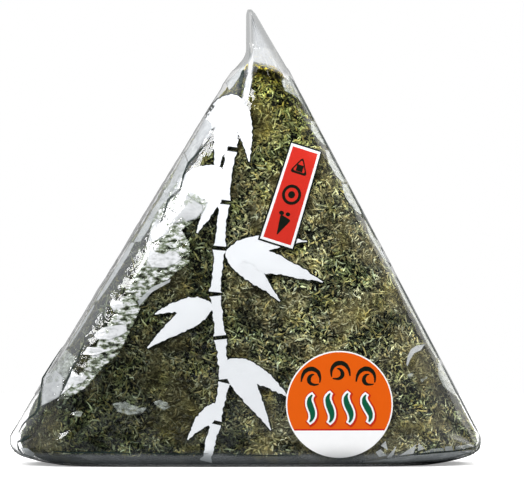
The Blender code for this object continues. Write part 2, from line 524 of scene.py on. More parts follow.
def skin_normals(turn, height, inset=0.0):
    """The skin's outward directions, from its neighbours a little way round and up."""
    step = 0.1 * MM
    round_it = skin(turn + 0.0005, height, inset) - skin(turn - 0.0005, height, inset)
    up_it = skin(turn, height + step, inset) - skin(turn, np.maximum(height - step, 0), inset)
    normals = np.cross(round_it, up_it)
    return normals / np.maximum(np.linalg.norm(normals, axis=1, keepdims=True), 1e-12)


def finish_piece(name, bm, materials, smooth_shading=True):
    """The bmesh as a piece that rides on the pack, with its materials."""
    mesh = bpy.data.meshes.new(name)
    bm.to_mesh(mesh)
    bm.free()
    return finish_mesh(name, mesh, materials, smooth_shading)


def finish_mesh(name, mesh, materials, smooth_shading=True):
    for material in materials:
        mesh.materials.append(material)
    if smooth_shading:
        mesh.shade_smooth()
        mesh.set_sharp_from_angle(angle=math.radians(50))
    piece = bpy.data.objects.new(name, mesh)
    bpy.context.scene.collection.objects.link(piece)
    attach(piece, "root")
    print(name, len(mesh.polygons), "faces")
    return piece


# %% [markdown]
# ## The seaweed-covered body
#
# The body is the rice ball inside its sheet of seaweed, a little smaller than the film. Rice grains press through
# the sheet as soft bumps. At the top the sheet ends in an open slanted edge, inside the clear peak. The surface is
# pressed seaweed: dark, with olive and tan fibres lying in all directions, so the material layers several
# stretched, turned noises, each sharpened into thin lines.

# %% Body mesh
BODY_INSET = 1.0 * MM
BODY_BOTTOM = 0.5 * MM
BODY_TOP = 83.7 * MM
SHEET_MIDDLE = 1.9 * MM
SHEET_SLOPES = (0.36, -0.38)


def body_place(turns, heights):
    top_slant = np.clip((heights - 76 * MM) / (BODY_TOP - 76 * MM), 0, 1)
    inset = BODY_INSET + 0.5 * MM * smooth(78 * MM, BODY_TOP, heights)
    points = skin(turns, heights, inset)
    normals = skin_normals(turns, heights, inset)
    ear = smooth(17 * MM, 4 * MM, heights) * smooth(-38 * MM, -48 * MM, points[:, 0])
    points[:, 0] += 1.6 * MM * ear
    left, right = edges(heights)
    rightwards = np.clip((points[:, 0] - (left + right) / 2) / ((right - left) / 2), 0, 1)
    points[:, 0] += 0.6 * MM * rightwards**2 * smooth(35 * MM, 65 * MM, heights)
    points[:, 0] += 0.35 * MM * rightwards**2 * smooth(78.5 * MM, 82 * MM, heights)
    for i, point in enumerate(points):
        spot = Vector(point)
        bumps = noise.noise(spot / (4.6 * MM)) + 0.55 * noise.noise(spot / (2.1 * MM))
        crumple = abs(noise.noise(spot / (9 * MM) + Vector((5, 1, 2))))
        lift = (0.20 * bumps - 0.45 * crumple) * MM
        fade = min(1.0, max(0.0, (point[2] - 1 * MM) / (3 * MM)))
        points[i] += normals[i] * lift * fade
    points[:, 2] = np.maximum(points[:, 2], 0.35 * MM)
    slope = np.where(points[:, 0] > SHEET_MIDDLE, *SHEET_SLOPES)
    points[:, 2] -= top_slant * (slope * (points[:, 0] - SHEET_MIDDLE) - 0.20 * points[:, 1])
    return points


body_rows = heights_between([(BODY_BOTTOM, 24), (BODY_BOTTOM + 5 * MM, 150), (78 * MM, 20), (BODY_TOP, 0)])
body_bmesh = wrapped_grid(420, body_rows, body_place)
print("body grid", len(body_bmesh.verts), "points")


def finish_body(bm, material):
    """Closes the base and leaves a shallow open mouth between the sheet's edges at the top."""
    fill_ends(bm)
    mouth = max(bm.faces, key=lambda f: f.calc_center_median().z)
    bmesh.ops.inset_region(bm, faces=[mouth], thickness=0.3 * MM)
    mouth.material_index = 1
    bmesh.ops.inset_region(bm, faces=[mouth], thickness=0.15 * MM)
    bmesh.ops.translate(bm, verts=mouth.verts, vec=(0, 0, -2.5 * MM))
    for edge in mouth.edges:
        for face in edge.link_faces:
            face.material_index = 1
    # The mouth's walls and floor are near-black: painted shade inside the opening.
    dark, _, _ = new_material("shade_inside_the_sheet", Base_Color=DARK_WEED, Roughness=0.8, Specular_IOR_Level=0.05)
    return finish_piece("seaweed_body", bm, [material, dark])


# %% [markdown]
# ### Pressed seaweed as a material
#
# A stretched noise gives streaks. The distance from its middle value, turned over and sharpened, gives thin bright
# lines like fibres. The group below makes one layer of such fibres with a direction of its own, and is placed
# several times.

# %% Fibre group
def fibre_group():
    """Thin curved fibres along one direction: 1 on a fibre and 0 between them."""
    group = bpy.data.node_groups.new("pressed_fibres", "ShaderNodeTree")
    for name, default in (("Turn", 0.0), ("Scale", 300.0), ("Stretch", 3.0), ("Sharpness", 7.0)):
        socket = group.interface.new_socket(name, in_out="INPUT", socket_type="NodeSocketFloat")
        socket.default_value = default
    group.interface.new_socket("Fibre", in_out="OUTPUT", socket_type="NodeSocketFloat")
    entry = group.nodes.new("NodeGroupInput")
    leave = group.nodes.new("NodeGroupOutput")
    place = add_node(group, "TexCoord")
    bend = add_node(group, "TexNoise", {"Scale": 260.0, "Detail": 1.0}, {"Vector": place.outputs["Object"]})
    bent = add_node(
        group, "VectorMath", {1: (0.0009, 0.0009, 0.0009)}, {0: bend.outputs["Color"]}, operation="MULTIPLY"
    )
    moved = add_node(group, "VectorMath", (), {0: place.outputs["Object"], 1: bent.outputs[0]}, operation="ADD")
    turned = add_node(
        group,
        "VectorRotate",
        (),
        {"Vector": moved.outputs[0], "Angle": entry.outputs["Turn"]},
        rotation_type="Y_AXIS",
    )
    shape = add_node(group, "CombineXYZ")
    narrow = maths(group, "DIVIDE", entry.outputs["Scale"], entry.outputs["Stretch"])
    group.links.new(narrow, shape.inputs["X"])
    group.links.new(entry.outputs["Scale"], shape.inputs["Y"])
    group.links.new(entry.outputs["Scale"], shape.inputs["Z"])
    stretched = add_node(group, "VectorMath", (), {0: turned.outputs[0], 1: shape.outputs[0]}, operation="MULTIPLY")
    streaks = add_node(
        group, "TexNoise", {"Scale": 1.0, "Detail": 2.0, "Roughness": 0.55}, {"Vector": stretched.outputs[0]}
    )
    off_middle = maths(group, "ABSOLUTE", maths(group, "SUBTRACT", streaks.outputs["Fac"], 0.5))
    line = maths(group, "SUBTRACT", 1.0, maths(group, "MULTIPLY", off_middle, entry.outputs["Sharpness"]), clamp=True)
    group.links.new(maths(group, "POWER", line, 1.5), leave.inputs["Fibre"])
    return group


FIBRES = fibre_group()


def fibre_layer(tree, turn, scale, stretch, sharpness):
    node = tree.nodes.new("ShaderNodeGroup")
    node.node_tree = FIBRES
    node.inputs["Turn"].default_value = math.radians(turn)
    node.inputs["Scale"].default_value = scale
    node.inputs["Stretch"].default_value = stretch
    node.inputs["Sharpness"].default_value = sharpness
    return node.outputs[0]


# %% Seaweed material
DARK_WEED = (0.0015, 0.002, 0.0015, 1)
OLIVE_WEED = (0.150, 0.158, 0.078, 1)
TAN_WEED = (0.27, 0.26, 0.145, 1)
OCHRE_TINT = (1.02, 0.96, 0.42, 1)
HIGH_TINT = (0.71, 0.68, 0.215, 1)
PRESSED_FLAT = (0.066, 0.056, 0.024, 1)
OPEN_WEB_TINT = (1.30, 1.46, 1.55, 1)
# SHADED_SIDE and LIGHT_SIDE are painted light: the darker left and the lighter right of the seaweed.
SHADED_SIDE = (0.95, 1.04, 1.08, 1)
LIGHT_SIDE = (2.76, 2.84, 2.98, 1)


def pressed(tree, place, colour):
    """Some regions of the sheet are pressed flat and brown, others are an open web: pale strands over black."""
    regions = add_node(tree, "TexNoise", {"Scale": 95.0, "Detail": 3.0, "Roughness": 0.6}, {"Vector": place})
    flat = add_node(
        tree, "MapRange", {"From Min": 0.50, "From Max": 0.60, "To Min": 0.0, "To Max": 0.7}, {"Value": regions.outputs["Fac"]}
    )
    web = add_node(tree, "MapRange", {"From Min": 0.50, "From Max": 0.42}, {"Value": regions.outputs["Fac"]})
    deeper = add_node(tree, "Gamma", {"Gamma": 1.3}, {"Color": colour})
    opened = mixed(tree, web.outputs[0], colour, multiplied(tree, deeper.outputs[0], OPEN_WEB_TINT))
    return mixed(tree, flat.outputs[0], opened, PRESSED_FLAT)


def tints_and_painted_light(tree, place, colour):
    """The colour, turned to ochre in patches and towards the top, uneven in clumps, and with painted light and shade.
    """
    patches = add_node(tree, "TexNoise", {"Scale": 210.0, "Detail": 3.0, "Roughness": 0.6}, {"Vector": place})
    rise = add_node(tree, "SeparateXYZ", (), {0: place})
    up = add_node(
        tree, "MapRange", {"From Min": 0.050, "From Max": 0.080, "To Min": 0.0, "To Max": 0.8}, {"Value": rise.outputs["Z"]}
    )
    share = maths(tree, "MULTIPLY", maths(tree, "SUBTRACT", patches.outputs["Fac"], 0.48), 4.0, clamp=True)
    patched = mixed(tree, maths(tree, "MULTIPLY", share, 0.7), (1, 1, 1, 1), OCHRE_TINT)
    hue = mixed(tree, up.outputs[0], patched, HIGH_TINT)
    # Painted light: lit and shaded copies of the colour, darker to the left and lighter to the right and upwards, with
    # a noisy boundary.
    slant = maths(tree, "ADD", rise.outputs["X"], maths(tree, "MULTIPLY", rise.outputs["Z"], 0.20))
    broad = add_node(tree, "TexNoise", {"Scale": 60.0, "Detail": 2.0}, {"Vector": place})
    slant = maths(tree, "ADD", slant, maths(tree, "MULTIPLY", broad.outputs["Fac"], 0.03))
    lit = add_node(
        tree, "MapRange", {"From Min": 0.0, "From Max": 0.04, "To Min": 0.0, "To Max": 1.0}, {"Value": slant}
    )
    clumps = add_node(tree, "TexNoise", {"Scale": 360.0, "Detail": 2.0, "Roughness": 0.5}, {"Vector": place})
    clumped = add_node(
        tree, "MapRange", {"From Min": 0.36, "From Max": 0.64, "To Min": 0.5, "To Max": 1.5}, {"Value": clumps.outputs["Fac"]}
    )
    side = mixed(tree, lit.outputs[0], SHADED_SIDE, LIGHT_SIDE)
    # Near the sheet's top edge a ramp paints a yellow rim with a band of painted shade just under it; elsewhere it
    # scales the colour by 0.37.
    off_middle = maths(tree, "SUBTRACT", rise.outputs["X"], SHEET_MIDDLE)
    right_slope, left_slope = (maths(tree, "MULTIPLY", off_middle, slope) for slope in SHEET_SLOPES)
    to_rim = maths(tree, "ADD", rise.outputs["Z"], maths(tree, "MAXIMUM", right_slope, left_slope))
    rim = add_node(tree, "MapRange", {"From Min": 0.0803, "From Max": 0.0833}, {"Value": to_rim})
    rim_and_shade_band = add_node(tree, "ValToRGB", (), {"Fac": rim.outputs[0]})
    rim_and_shade_band.color_ramp.elements[0].color = (0.37, 0.37, 0.37, 1)
    rim_and_shade_band.color_ramp.elements[1].color = (1.0, 0.80, 0.16, 1)
    for position, tone in ((0.35, 0.34), (0.56, 0.05), (0.82, 0.05), (0.93, 0.7)):
        rim_and_shade_band.color_ramp.elements.new(position).color = (tone, tone * 0.92, tone * 0.6, 1)
    rim_and_shade_colour = multiplied(tree, rim_and_shade_band.outputs["Color"], clumped.outputs[0])
    edged = multiplied(tree, multiplied(tree, pressed(tree, place, colour), hue), rim_and_shade_colour)
    return multiplied(tree, edged, multiplied(tree, side, (2.85, 2.85, 2.85, 1)))


def multiplied(tree, first, second):
    """The product of two colours."""
    node = tree.nodes.new("ShaderNodeMix")
    node.data_type = "RGBA"
    node.blend_type = "MULTIPLY"
    sockets = {socket.identifier: socket for socket in node.inputs}
    sockets["Factor_Float"].default_value = 1.0
    for operand, socket in ((first, sockets["A_Color"]), (second, sockets["B_Color"])):
        if isinstance(operand, bpy.types.NodeSocket):
            tree.links.new(operand, socket)
        else:
            socket.default_value = operand
    return next(socket for socket in node.outputs if socket.identifier == "Result_Color")


def seaweed_material():
    material, tree, shader = new_material("pressed_seaweed", Roughness=0.6, Specular_IOR_Level=0.0)
    place = add_node(tree, "TexCoord").outputs["Object"]
    patches = add_node(tree, "TexNoise", {"Scale": 85.0, "Detail": 4.0, "Roughness": 0.65}, {"Vector": place})
    hue = add_node(tree, "TexNoise", {"Scale": 420.0, "Detail": 2.0}, {"Vector": place})
    layers = [
        fibre_layer(tree, 20, 1000, 1.8, 17),
        fibre_layer(tree, 75, 1200, 2.0, 19),
        fibre_layer(tree, -40, 800, 2.6, 17),
    ]
    web = layers[0]
    for layer in layers[1:]:
        web = maths(tree, "MAXIMUM", web, layer)
    light = add_node(
        tree,
        "MapRange",
        {"From Min": 0.34, "From Max": 0.64, "To Min": 0.55, "To Max": 1.0},
        {"Value": patches.outputs["Fac"]},
    )
    height = add_node(tree, "SeparateXYZ", (), {0: place}).outputs["Z"]
    # Painted shade at the foot: from 3.4 mm down to 2.2 mm the fibres fade to a tenth, so the base goes dark.
    painted_foot_shade = add_node(tree, "MapRange", {"From Min": 0.0022, "From Max": 0.0034, "To Min": 0.1}, {"Value": height})
    strength = maths(tree, "MULTIPLY", maths(tree, "POWER", web, 1.2), light.outputs[0], clamp=True)
    strength = maths(tree, "MULTIPLY", strength, painted_foot_shade.outputs[0])
    tinted = mixed(tree, maths(tree, "SUBTRACT", maths(tree, "MULTIPLY", hue.outputs["Fac"], 5.0), 2.0, clamp=True),
                   OLIVE_WEED, TAN_WEED)
    tree.links.new(tints_and_painted_light(tree, place, mixed(tree, strength, DARK_WEED, tinted)), shader.inputs["Base Color"])
    bump = add_node(tree, "Bump", {"Strength": 0.9, "Distance": 0.0002}, {"Height": web})
    tree.links.new(bump.outputs[0], shader.inputs["Normal"])
    return material


seaweed_body = finish_body(body_bmesh, seaweed_material())
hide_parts("film_pack")

# %% [markdown]
# ## Strands that stand off the sheet
#
# Pressed seaweed isn't smooth: short strands lie across each other with dark gaps between. One strand is a thin
# bent spindle with a triangular section. Thousands of copies are laid on the body at random places, turned in the
# surface, and joined into one mesh with numpy arrays. A point attribute carries each strand's own tint.

# %% Strand and chip templates
def template_arrays(bm):
    """The points and triangles of a shape modelled along Z, turned to lie along X, as arrays."""
    bmesh.ops.triangulate(bm, faces=bm.faces)
    bmesh.ops.recalc_face_normals(bm, faces=bm.faces)
    points = np.array([v.co[:] for v in bm.verts])
    bm.verts.index_update()
    faces = np.array([[v.index for v in f.verts] for f in bm.faces])
    bm.free()
    return points[:, [2, 0, 1]], faces


def strand_template():
    """One unit strand: a tip, two three-sided rings and a tip."""
    bm = bmesh.new()
    bmesh.ops.create_cone(bm, segments=3, radius1=0.5, radius2=0.5, depth=0.4, cap_ends=True)
    for end in (-1, 1):
        cap = max(bm.faces, key=lambda f: f.calc_center_median().z * end)
        tip = bmesh.ops.poke(bm, faces=[cap])["verts"][0]
        tip.co.z = 0.5 * end
    return template_arrays(bm)


def chip_template():
    """One unit chip: two tips on either side of a three-sided waist."""
    bm = bmesh.new()
    bmesh.ops.create_cone(bm, segments=3, radius1=0.5, radius2=0.0, depth=1.0, cap_ends=True)
    base = min(bm.faces, key=lambda f: f.calc_center_median().z)
    for vert in base.verts:
        vert.co.z = 0.12
    tip = bmesh.ops.poke(bm, faces=[base])["verts"][0]
    tip.co.z = -0.5
    return template_arrays(bm)


def surface_samples(piece, count, seed):
    """Random points on a piece, evenly by area, with the face normals there."""
    mesh = piece.data
    mesh.calc_loop_triangles()
    corners = np.empty(len(mesh.loop_triangles) * 3, int)
    mesh.loop_triangles.foreach_get("vertices", corners)
    places = np.empty(len(mesh.vertices) * 3)
    mesh.vertices.foreach_get("co", places)
    a, b, c = places.reshape(-1, 3)[corners.reshape(-1, 3)].transpose(1, 0, 2)
    across = np.cross(b - a, c - a)
    area = np.linalg.norm(across, axis=1) * (np.array([t.material_index for t in mesh.loop_triangles]) == 0)
    dice = np.random.default_rng(seed)
    chosen = dice.choice(len(area), count, p=area / area.sum())
    u, v = dice.random((2, count, 1))
    u, v = np.where(u + v > 1, 1 - u, u), np.where(u + v > 1, 1 - v, v)
    points = a[chosen] + u * (b[chosen] - a[chosen]) + v * (c[chosen] - a[chosen])
    across = across[chosen]
    return points, across / np.linalg.norm(across, axis=1, keepdims=True), dice


def strands(name, count, seed, lengths, widths, lifts, tints, template):
    """A joined mesh of strands on the body; lengths, widths, lifts and tints are a lowest and highest value."""
    points_in_one, faces = template
    points, normals, dice = surface_samples(seaweed_body, count, seed)
    keep = (points[:, 2] > 2.6 * MM) & (points[:, 2] < BODY_TOP - 0.5 * MM)
    points, normals = points[keep], normals[keep]
    count = len(points)
    heading = dice.normal(size=(count, 3))
    heading -= (heading * normals).sum(1, keepdims=True) * normals
    heading /= np.linalg.norm(heading, axis=1, keepdims=True)
    sideways = np.cross(normals, heading)
    length = mix(lengths[0], lengths[1], dice.random((count, 1, 1)) ** 1.6)
    width = mix(widths[0], widths[1], dice.random((count, 1, 1)))
    lift = mix(lifts[0], lifts[1], dice.random((count, 1, 1)))
    bend = dice.normal(size=(count, 1, 1)) * 0.14
    tilt = dice.normal(size=(count, 1, 1)) * 0.06
    along, side, out = (points_in_one[None, :, i:i + 1] for i in range(3))
    local = (
        along * length * heading[:, None]
        + (side * width + bend * length * (1 - 4 * along**2)) * sideways[:, None]
        + (out * width * 0.45 + tilt * along * length + lift) * normals[:, None]
    )
    co = (points[:, None] + local).reshape(-1, 3)
    co[:, 2] = np.maximum(co[:, 2], 0.4 * MM)
    index = (faces[None] + len(points_in_one) * np.arange(count)[:, None, None]).reshape(-1, 3)
    mesh = bpy.data.meshes.new(name)
    mesh.from_pydata(co.tolist(), [], index.tolist())
    tint = mesh.attributes.new("tint", "FLOAT", "POINT")
    values = mix(tints[0], tints[1], dice.random(count))
    tint.data.foreach_set("value", np.repeat(values, len(points_in_one)).astype(np.float32))
    return finish_mesh(name, mesh, [STRAND_FINISH])


# %% Strand material and the strands
STRAND_TINTS = [
    (0.0, DARK_WEED),
    (0.22, (0.010, 0.011, 0.008, 1)),
    (0.32, (0.065, 0.070, 0.050, 1)),
    (0.44, (0.150, 0.120, 0.056, 1)),
    (0.55, (0.140, 0.152, 0.080, 1)),
    (0.66, (0.250, 0.205, 0.086, 1)),
    (0.78, (0.240, 0.245, 0.170, 1)),
    (0.90, (0.350, 0.345, 0.205, 1)),
    (1.0, (0.52, 0.51, 0.37, 1)),
]


def strand_material():
    material, tree, shader = new_material("seaweed_strand", Roughness=0.55, Specular_IOR_Level=0.03)
    tint = add_node(tree, "Attribute", attribute_name="tint").outputs["Fac"]
    place = add_node(tree, "TexCoord").outputs["Object"]
    patches = add_node(tree, "TexNoise", {"Scale": 85.0, "Detail": 4.0, "Roughness": 0.65}, {"Vector": place})
    ramp = add_node(tree, "ValToRGB", (), {"Fac": tint})
    stops = ramp.color_ramp.elements
    stops[0].position, stops[0].color = STRAND_TINTS[0]
    stops[1].position, stops[1].color = STRAND_TINTS[-1]
    for position, colour in STRAND_TINTS[1:-1]:
        stops.new(position).color = colour
    shade = add_node(
        tree,
        "MapRange",
        {"From Min": 0.34, "From Max": 0.52, "To Min": 0.6, "To Max": 0.0},
        {"Value": patches.outputs["Fac"]},
    )
    colour = mixed(tree, shade.outputs[0], ramp.outputs["Color"], DARK_WEED)
    tree.links.new(tints_and_painted_light(tree, place, colour), shader.inputs["Base Color"])
    grain = add_node(tree, "TexNoise", {"Scale": 4000.0, "Detail": 1.0}, {"Vector": place})
    bump = add_node(tree, "Bump", {"Strength": 0.4, "Distance": 0.00005}, {"Height": grain.outputs["Fac"]})
    tree.links.new(bump.outputs[0], shader.inputs["Normal"])
    return material


STRAND_FINISH = strand_material()
CHIP, STRAND = chip_template(), strand_template()
print("one chip", len(CHIP[1]), "triangles, one strand", len(STRAND[1]))
strands("low_chips", 22000, 3, (0.6 * MM, 2.2 * MM), (0.4 * MM, 0.9 * MM), (0.0, 0.2 * MM), (-0.12, 0.75), CHIP)
strands("high_chips", 24000, 5, (0.5 * MM, 1.6 * MM), (0.3 * MM, 0.65 * MM), (0.1 * MM, 0.4 * MM), (-0.05, 0.90), CHIP)
strands("strands", 9000, 4, (0.8 * MM, 3.0 * MM), (0.18 * MM, 0.34 * MM), (0.25 * MM, 0.45 * MM), (0.1, 0.93), STRAND)

# %% [markdown]
# ## The clear film
#
# The film is one closed skin. It shows what lies behind it, so its shader is mostly Transparent, with two things
# mixed in. A Fresnel share of mirror gives the gloss, doubled because the film has a front and a back. A little white
# haze, painted by an attribute, stands for the layered film of the peak and the corners; on the sheets laid over the
# film the same haze is painted highlight and reflection, and a shade attribute is painted shade that darkens the milk
# and dims the gloss. A fine bump breaks up the reflections where the film clings to the strands. Seen from inside, the
# Fresnel node would turn its index round and shut slanting light in, as thick glass does; thin film doesn't, so the
# index is turned back there.

# %% Film mesh
FILM_TOP = PACK_HEIGHT - 0.2 * MM


def film_place(turns, heights):
    points = skin(turns, heights)
    normals = skin_normals(turns, heights)
    for i, point in enumerate(points):
        points[i] += normals[i] * film_relief(point)
    points[:, 2] = np.clip(points[:, 2], 0.0, PACK_HEIGHT)
    into_tip = np.clip((heights - (PACK_HEIGHT - 1.6 * MM)) / (1.6 * MM), 0, 1)
    middle = sum(edges(heights)) / 2
    points[:, 0] = middle + (points[:, 0] - middle) * np.sqrt(1 - 0.93 * into_tip**2)
    return points


# The two strongest streaks are a painted highlight: a white band down the neck fold.
HAZE_STREAKS = [
    ((1.3, 86.5), (0.7, 80.5), 0.55, 0.95),
    ((0.7, 80.5), (-0.5, 75.0), 0.75, 0.85),
    ((1.1, 94.0), (1.3, 86.0), 0.35, 0.05),
    ((1.45, 92.5), (1.55, 88.0), 0.3, 0.45),
    ((2.35, 90.8), (1.95, 86.5), 0.35, 0.45),
    ((9.2, 80.6), (10.6, 77.0), 0.4, 0.45),
]


def film_haze(point):
    """How milky the film is here: most in the peak and the empty corners, a little along the edges."""
    x, y, z = point
    left, right = (float(edge) for edge in edges(np.array(z)))
    sheet_edge = 82.9 * MM - max(slope * (x - SHEET_MIDDLE) for slope in SHEET_SLOPES)
    peak = 0.34 * float(smooth(sheet_edge + 0.3 * MM, sheet_edge + 1.2 * MM, z))
    ear = 0.14 * float(smooth(30 * MM, 8 * MM, z)) * float(smooth(4 * MM, 1 * MM, x - left))
    left_edge = 0.14 * float(smooth(5 * MM, 3 * MM, x - left)) * float(smooth(12 * MM, 22 * MM, z))
    # The faint haze along the right edge and at the low right is painted reflection, over the lamps' real one.
    right_edge = 0.06 * float(smooth(2 * MM, 1 * MM, right - x))
    foot = mix(0.26, 0.30, float(smooth(5 * MM, 30 * MM, x))) * float(smooth(3.2 * MM, 2.2 * MM, z))
    low_right = 0.02 * float(smooth(30 * MM, 20 * MM, z)) * float(smooth(22 * MM, 32 * MM, x))
    haze = max(peak, ear, left_edge, right_edge, foot, low_right)
    if y < 0 and z > 70 * MM:
        for start, end, width, strength in HAZE_STREAKS:
            near = float(smooth(width, width * 0.6, off_line(x / MM, z / MM, start, end)))
            haze = mix(haze, strength, near)
    return haze


def film_material():
    """Mostly Transparent, with the milky share from the attribute haze and a mirror over both."""
    material = bpy.data.materials.new("clear_film")
    material.use_nodes = True
    tree = material.node_tree
    tree.nodes.clear()
    output = add_node(tree, "OutputMaterial")
    place = add_node(tree, "TexCoord").outputs["Object"]
    cling = add_node(tree, "TexNoise", {"Scale": 800.0, "Detail": 2.0, "Roughness": 0.55}, {"Vector": place})
    ripple = add_node(tree, "Attribute", attribute_name="ripple").outputs["Fac"]
    patches = add_node(tree, "TexNoise", {"Scale": 260.0, "Detail": 1.0}, {"Vector": place})
    clinging = maths(tree, "MULTIPLY", maths(tree, "SUBTRACT", patches.outputs["Fac"], 0.47), 12.0, clamp=True)
    strength = maths(tree, "ADD", maths(tree, "MULTIPLY", maths(tree, "MULTIPLY", ripple, clinging), 0.75), 0.06)
    bump = add_node(tree, "Bump", {"Distance": 0.0006}, {"Height": cling.outputs["Fac"], "Strength": strength})
    haze = add_node(tree, "Attribute", attribute_name="haze").outputs["Fac"]
    spots = add_node(tree, "Attribute", attribute_name="spots").outputs["Fac"]
    lying = add_node(tree, "Mapping", {"Rotation": (0, math.radians(20), 0), "Scale": (0.62, 1, 1.25)}, {"Vector": place})
    # Spots break up the painted highlights: where the noise is low the haze clears, and the milk turns greener.
    touching = add_node(
        tree, "TexNoise", {"Scale": 1050.0, "Detail": 3.0, "Roughness": 0.65}, {"Vector": lying.outputs[0]}
    )
    uneven = maths(tree, "MULTIPLY", maths(tree, "SUBTRACT", touching.outputs["Fac"], 0.5), 4.5)
    haze = maths(tree, "ADD", haze, maths(tree, "MULTIPLY", uneven, spots), clamp=True)
    clear = add_node(tree, "BsdfTransparent")
    milk = add_node(tree, "BsdfPrincipled", {"Roughness": 0.35}, {"Normal": bump.outputs[0]})
    thick = add_node(tree, "MapRange", {"From Min": 0.35, "From Max": 0.75}, {"Value": haze})
    spotted_milk = mixed(tree, spots, (0.60, 0.63, 0.665, 1), (0.43, 0.51, 0.35, 1))
    # The shade attribute is painted shade: it darkens the milk to dark teal and dims the gloss.
    shade = add_node(tree, "Attribute", attribute_name="shade").outputs["Fac"]
    milky = mixed(tree, thick.outputs[0], spotted_milk, (0.74, 0.75, 0.77, 1))
    tree.links.new(mixed(tree, shade, milky, (0.010, 0.022, 0.019, 1)), milk.inputs["Base Color"])
    body = add_node(tree, "MixShader", (), {0: haze, 1: clear.outputs[0], 2: milk.outputs[0]})
    inside = add_node(tree, "NewGeometry").outputs["Backfacing"]
    density = add_node(tree, "MapRange", {"To Min": 1.5, "To Max": 1 / 1.5}, {"Value": inside})
    fresnel = add_node(tree, "Fresnel", (), {"IOR": density.outputs[0], "Normal": bump.outputs[0]})
    shine = maths(tree, "SUBTRACT", 1.7, maths(tree, "MULTIPLY", shade, 1.4))
    share = maths(tree, "MULTIPLY", fresnel.outputs[0], shine, clamp=True)
    gloss = add_node(tree, "BsdfGlossy", {"Color": (1, 1, 1, 1), "Roughness": 0.06}, {"Normal": bump.outputs[0]})
    surface = add_node(tree, "MixShader", (), {0: share, 1: body.outputs[0], 2: gloss.outputs[0]})
    tree.links.new(surface.outputs[0], output.inputs["Surface"])
    return material


def film_ripple(point):
    """Where the film lies rippled over the strands: strongest in the bands inside both side edges."""
    x, y, z = point
    left, right = (float(edge) for edge in edges(np.array(z)))
    upright = float(smooth(9 * MM, 16 * MM, z)) * float(smooth(78 * MM, 72 * MM, z))
    left_band = float(smooth(15 * MM, 8 * MM, x - left)) * float(smooth(1.5 * MM, 4 * MM, x - left))
    right_band = 0.25 * float(smooth(10 * MM, 6 * MM, right - x)) * float(smooth(1.5 * MM, 3 * MM, right - x))
    sides = 0.6 * float(smooth(1.2 * MM, 0.4 * MM, min(x - left, right - x)))
    return upright * max(left_band, right_band, sides)


def film_shade(point):
    """Painted shade: the back part of both side walls gets darker milk and less gloss, so that the mirrored lamps
    don't hide the weed.
    """
    x, y, z = point
    left, right = (float(edge) for edge in edges(np.array(z)))
    walls = float(smooth(2.2 * MM, 0.8 * MM, min(x - left, right - x)))
    return 0.85 * walls * float(smooth(-9 * MM, -5 * MM, y)) * float(smooth(4 * MM, 10 * MM, z))


def clear_film():
    rows = heights_between(
        [(0.0, 2), (0.15 * MM, 30), (6 * MM, 120), (76 * MM, 36), (88 * MM, 20), (93.2 * MM, 12), (FILM_TOP, 0)]
    )
    bm = wrapped_grid(400, rows, film_place)
    fill_ends(bm)
    mesh = bpy.data.meshes.new("clear_film")
    bm.to_mesh(mesh)
    bm.free()
    haze = mesh.attributes.new("haze", "FLOAT", "POINT")
    haze.data.foreach_set("value", [film_haze(v.co) for v in mesh.vertices])
    ripple = mesh.attributes.new("ripple", "FLOAT", "POINT")
    ripple.data.foreach_set("value", [film_ripple(v.co) for v in mesh.vertices])
    shade = mesh.attributes.new("shade", "FLOAT", "POINT")
    shade.data.foreach_set("value", [film_shade(v.co) for v in mesh.vertices])
    return finish_mesh("clear_film", mesh, [FILM_FINISH])


FILM_FINISH = film_material()
clear_film()

# %% [markdown]
# ## Printing on the film
#
# The front carries a white brush-painted bamboo sprig, printed on the inside of the film. Each brush stroke is a
# narrow grid laid along a curve: its width swells and tapers, and its two edges are roughened a little, as bristles
# leave them. The drawing is made flat. `lay_on_film` then drapes it just under the film, so that the print follows
# each fold, and gives it a little thickness. A slightly wider dark copy lies under each stroke: a dark edge of painted
# shadow, as the print would cast on the weed.

# %% Print helpers
UNDER_FILM = 0.08 * MM
INK = 0.02 * MM
SHADOW_EDGE = 0.22 * MM


def lay_on_film(bm, depth, thickness=INK):
    """Drapes a flat drawing, held in x and z, this far inside the front film and makes it a thin closed layer."""
    flat = np.array([v.co[:] for v in bm.verts])
    front = front_skin(flat[:, 0], flat[:, 2])
    for vert, y in zip(bm.verts, front):
        vert.co.y = y - film_relief((vert.co.x, y, vert.co.z)) + depth
    bm.normal_update()
    backwards = [f for f in bm.faces if f.normal.y > 0]
    bmesh.ops.reverse_faces(bm, faces=backwards)
    bm.normal_update()
    bmesh.ops.solidify(bm, geom=bm.faces, thickness=thickness)
    bm.normal_update()


def curve_point(controls, share):
    """A point on the Bezier curve through these control points."""
    points = [Vector(c) for c in controls]
    while len(points) > 1:
        points = [a.lerp(b, share) for a, b in zip(points, points[1:])]
    return points[0]


def brush_stroke(controls, width_at, rows, seed, extra=0.0, bristle=1.0):
    """A flat brush stroke along a curve, in millimetres; width_at gives its width at each share of its length."""
    bm = bmesh.new()
    bmesh.ops.create_grid(bm, x_segments=rows, y_segments=6, size=1)
    for vert in bm.verts:
        share, side = (vert.co.x + 1) / 2, vert.co.y
        before = curve_point(controls, max(0.0, share - 0.01))
        after = curve_point(controls, min(1.0, share + 0.01))
        forward = (after - before).normalized()
        sideways = Vector((-forward.y, forward.x))
        rough = noise.noise(Vector((share * rows * 0.45, side * 0.8, seed))) * 0.30
        rough += noise.noise(Vector((share * rows * 0.12, side, seed + 9))) * 0.25
        half = width_at(share) / 2 + rough * bristle * min(1.0, width_at(share)) * abs(side) + extra
        middle = curve_point(controls, share) + forward * extra * (2 * share - 1)
        spot = middle + sideways * half * side
        vert.co = (spot.x * MM, 0, spot.y * MM)
    return bm


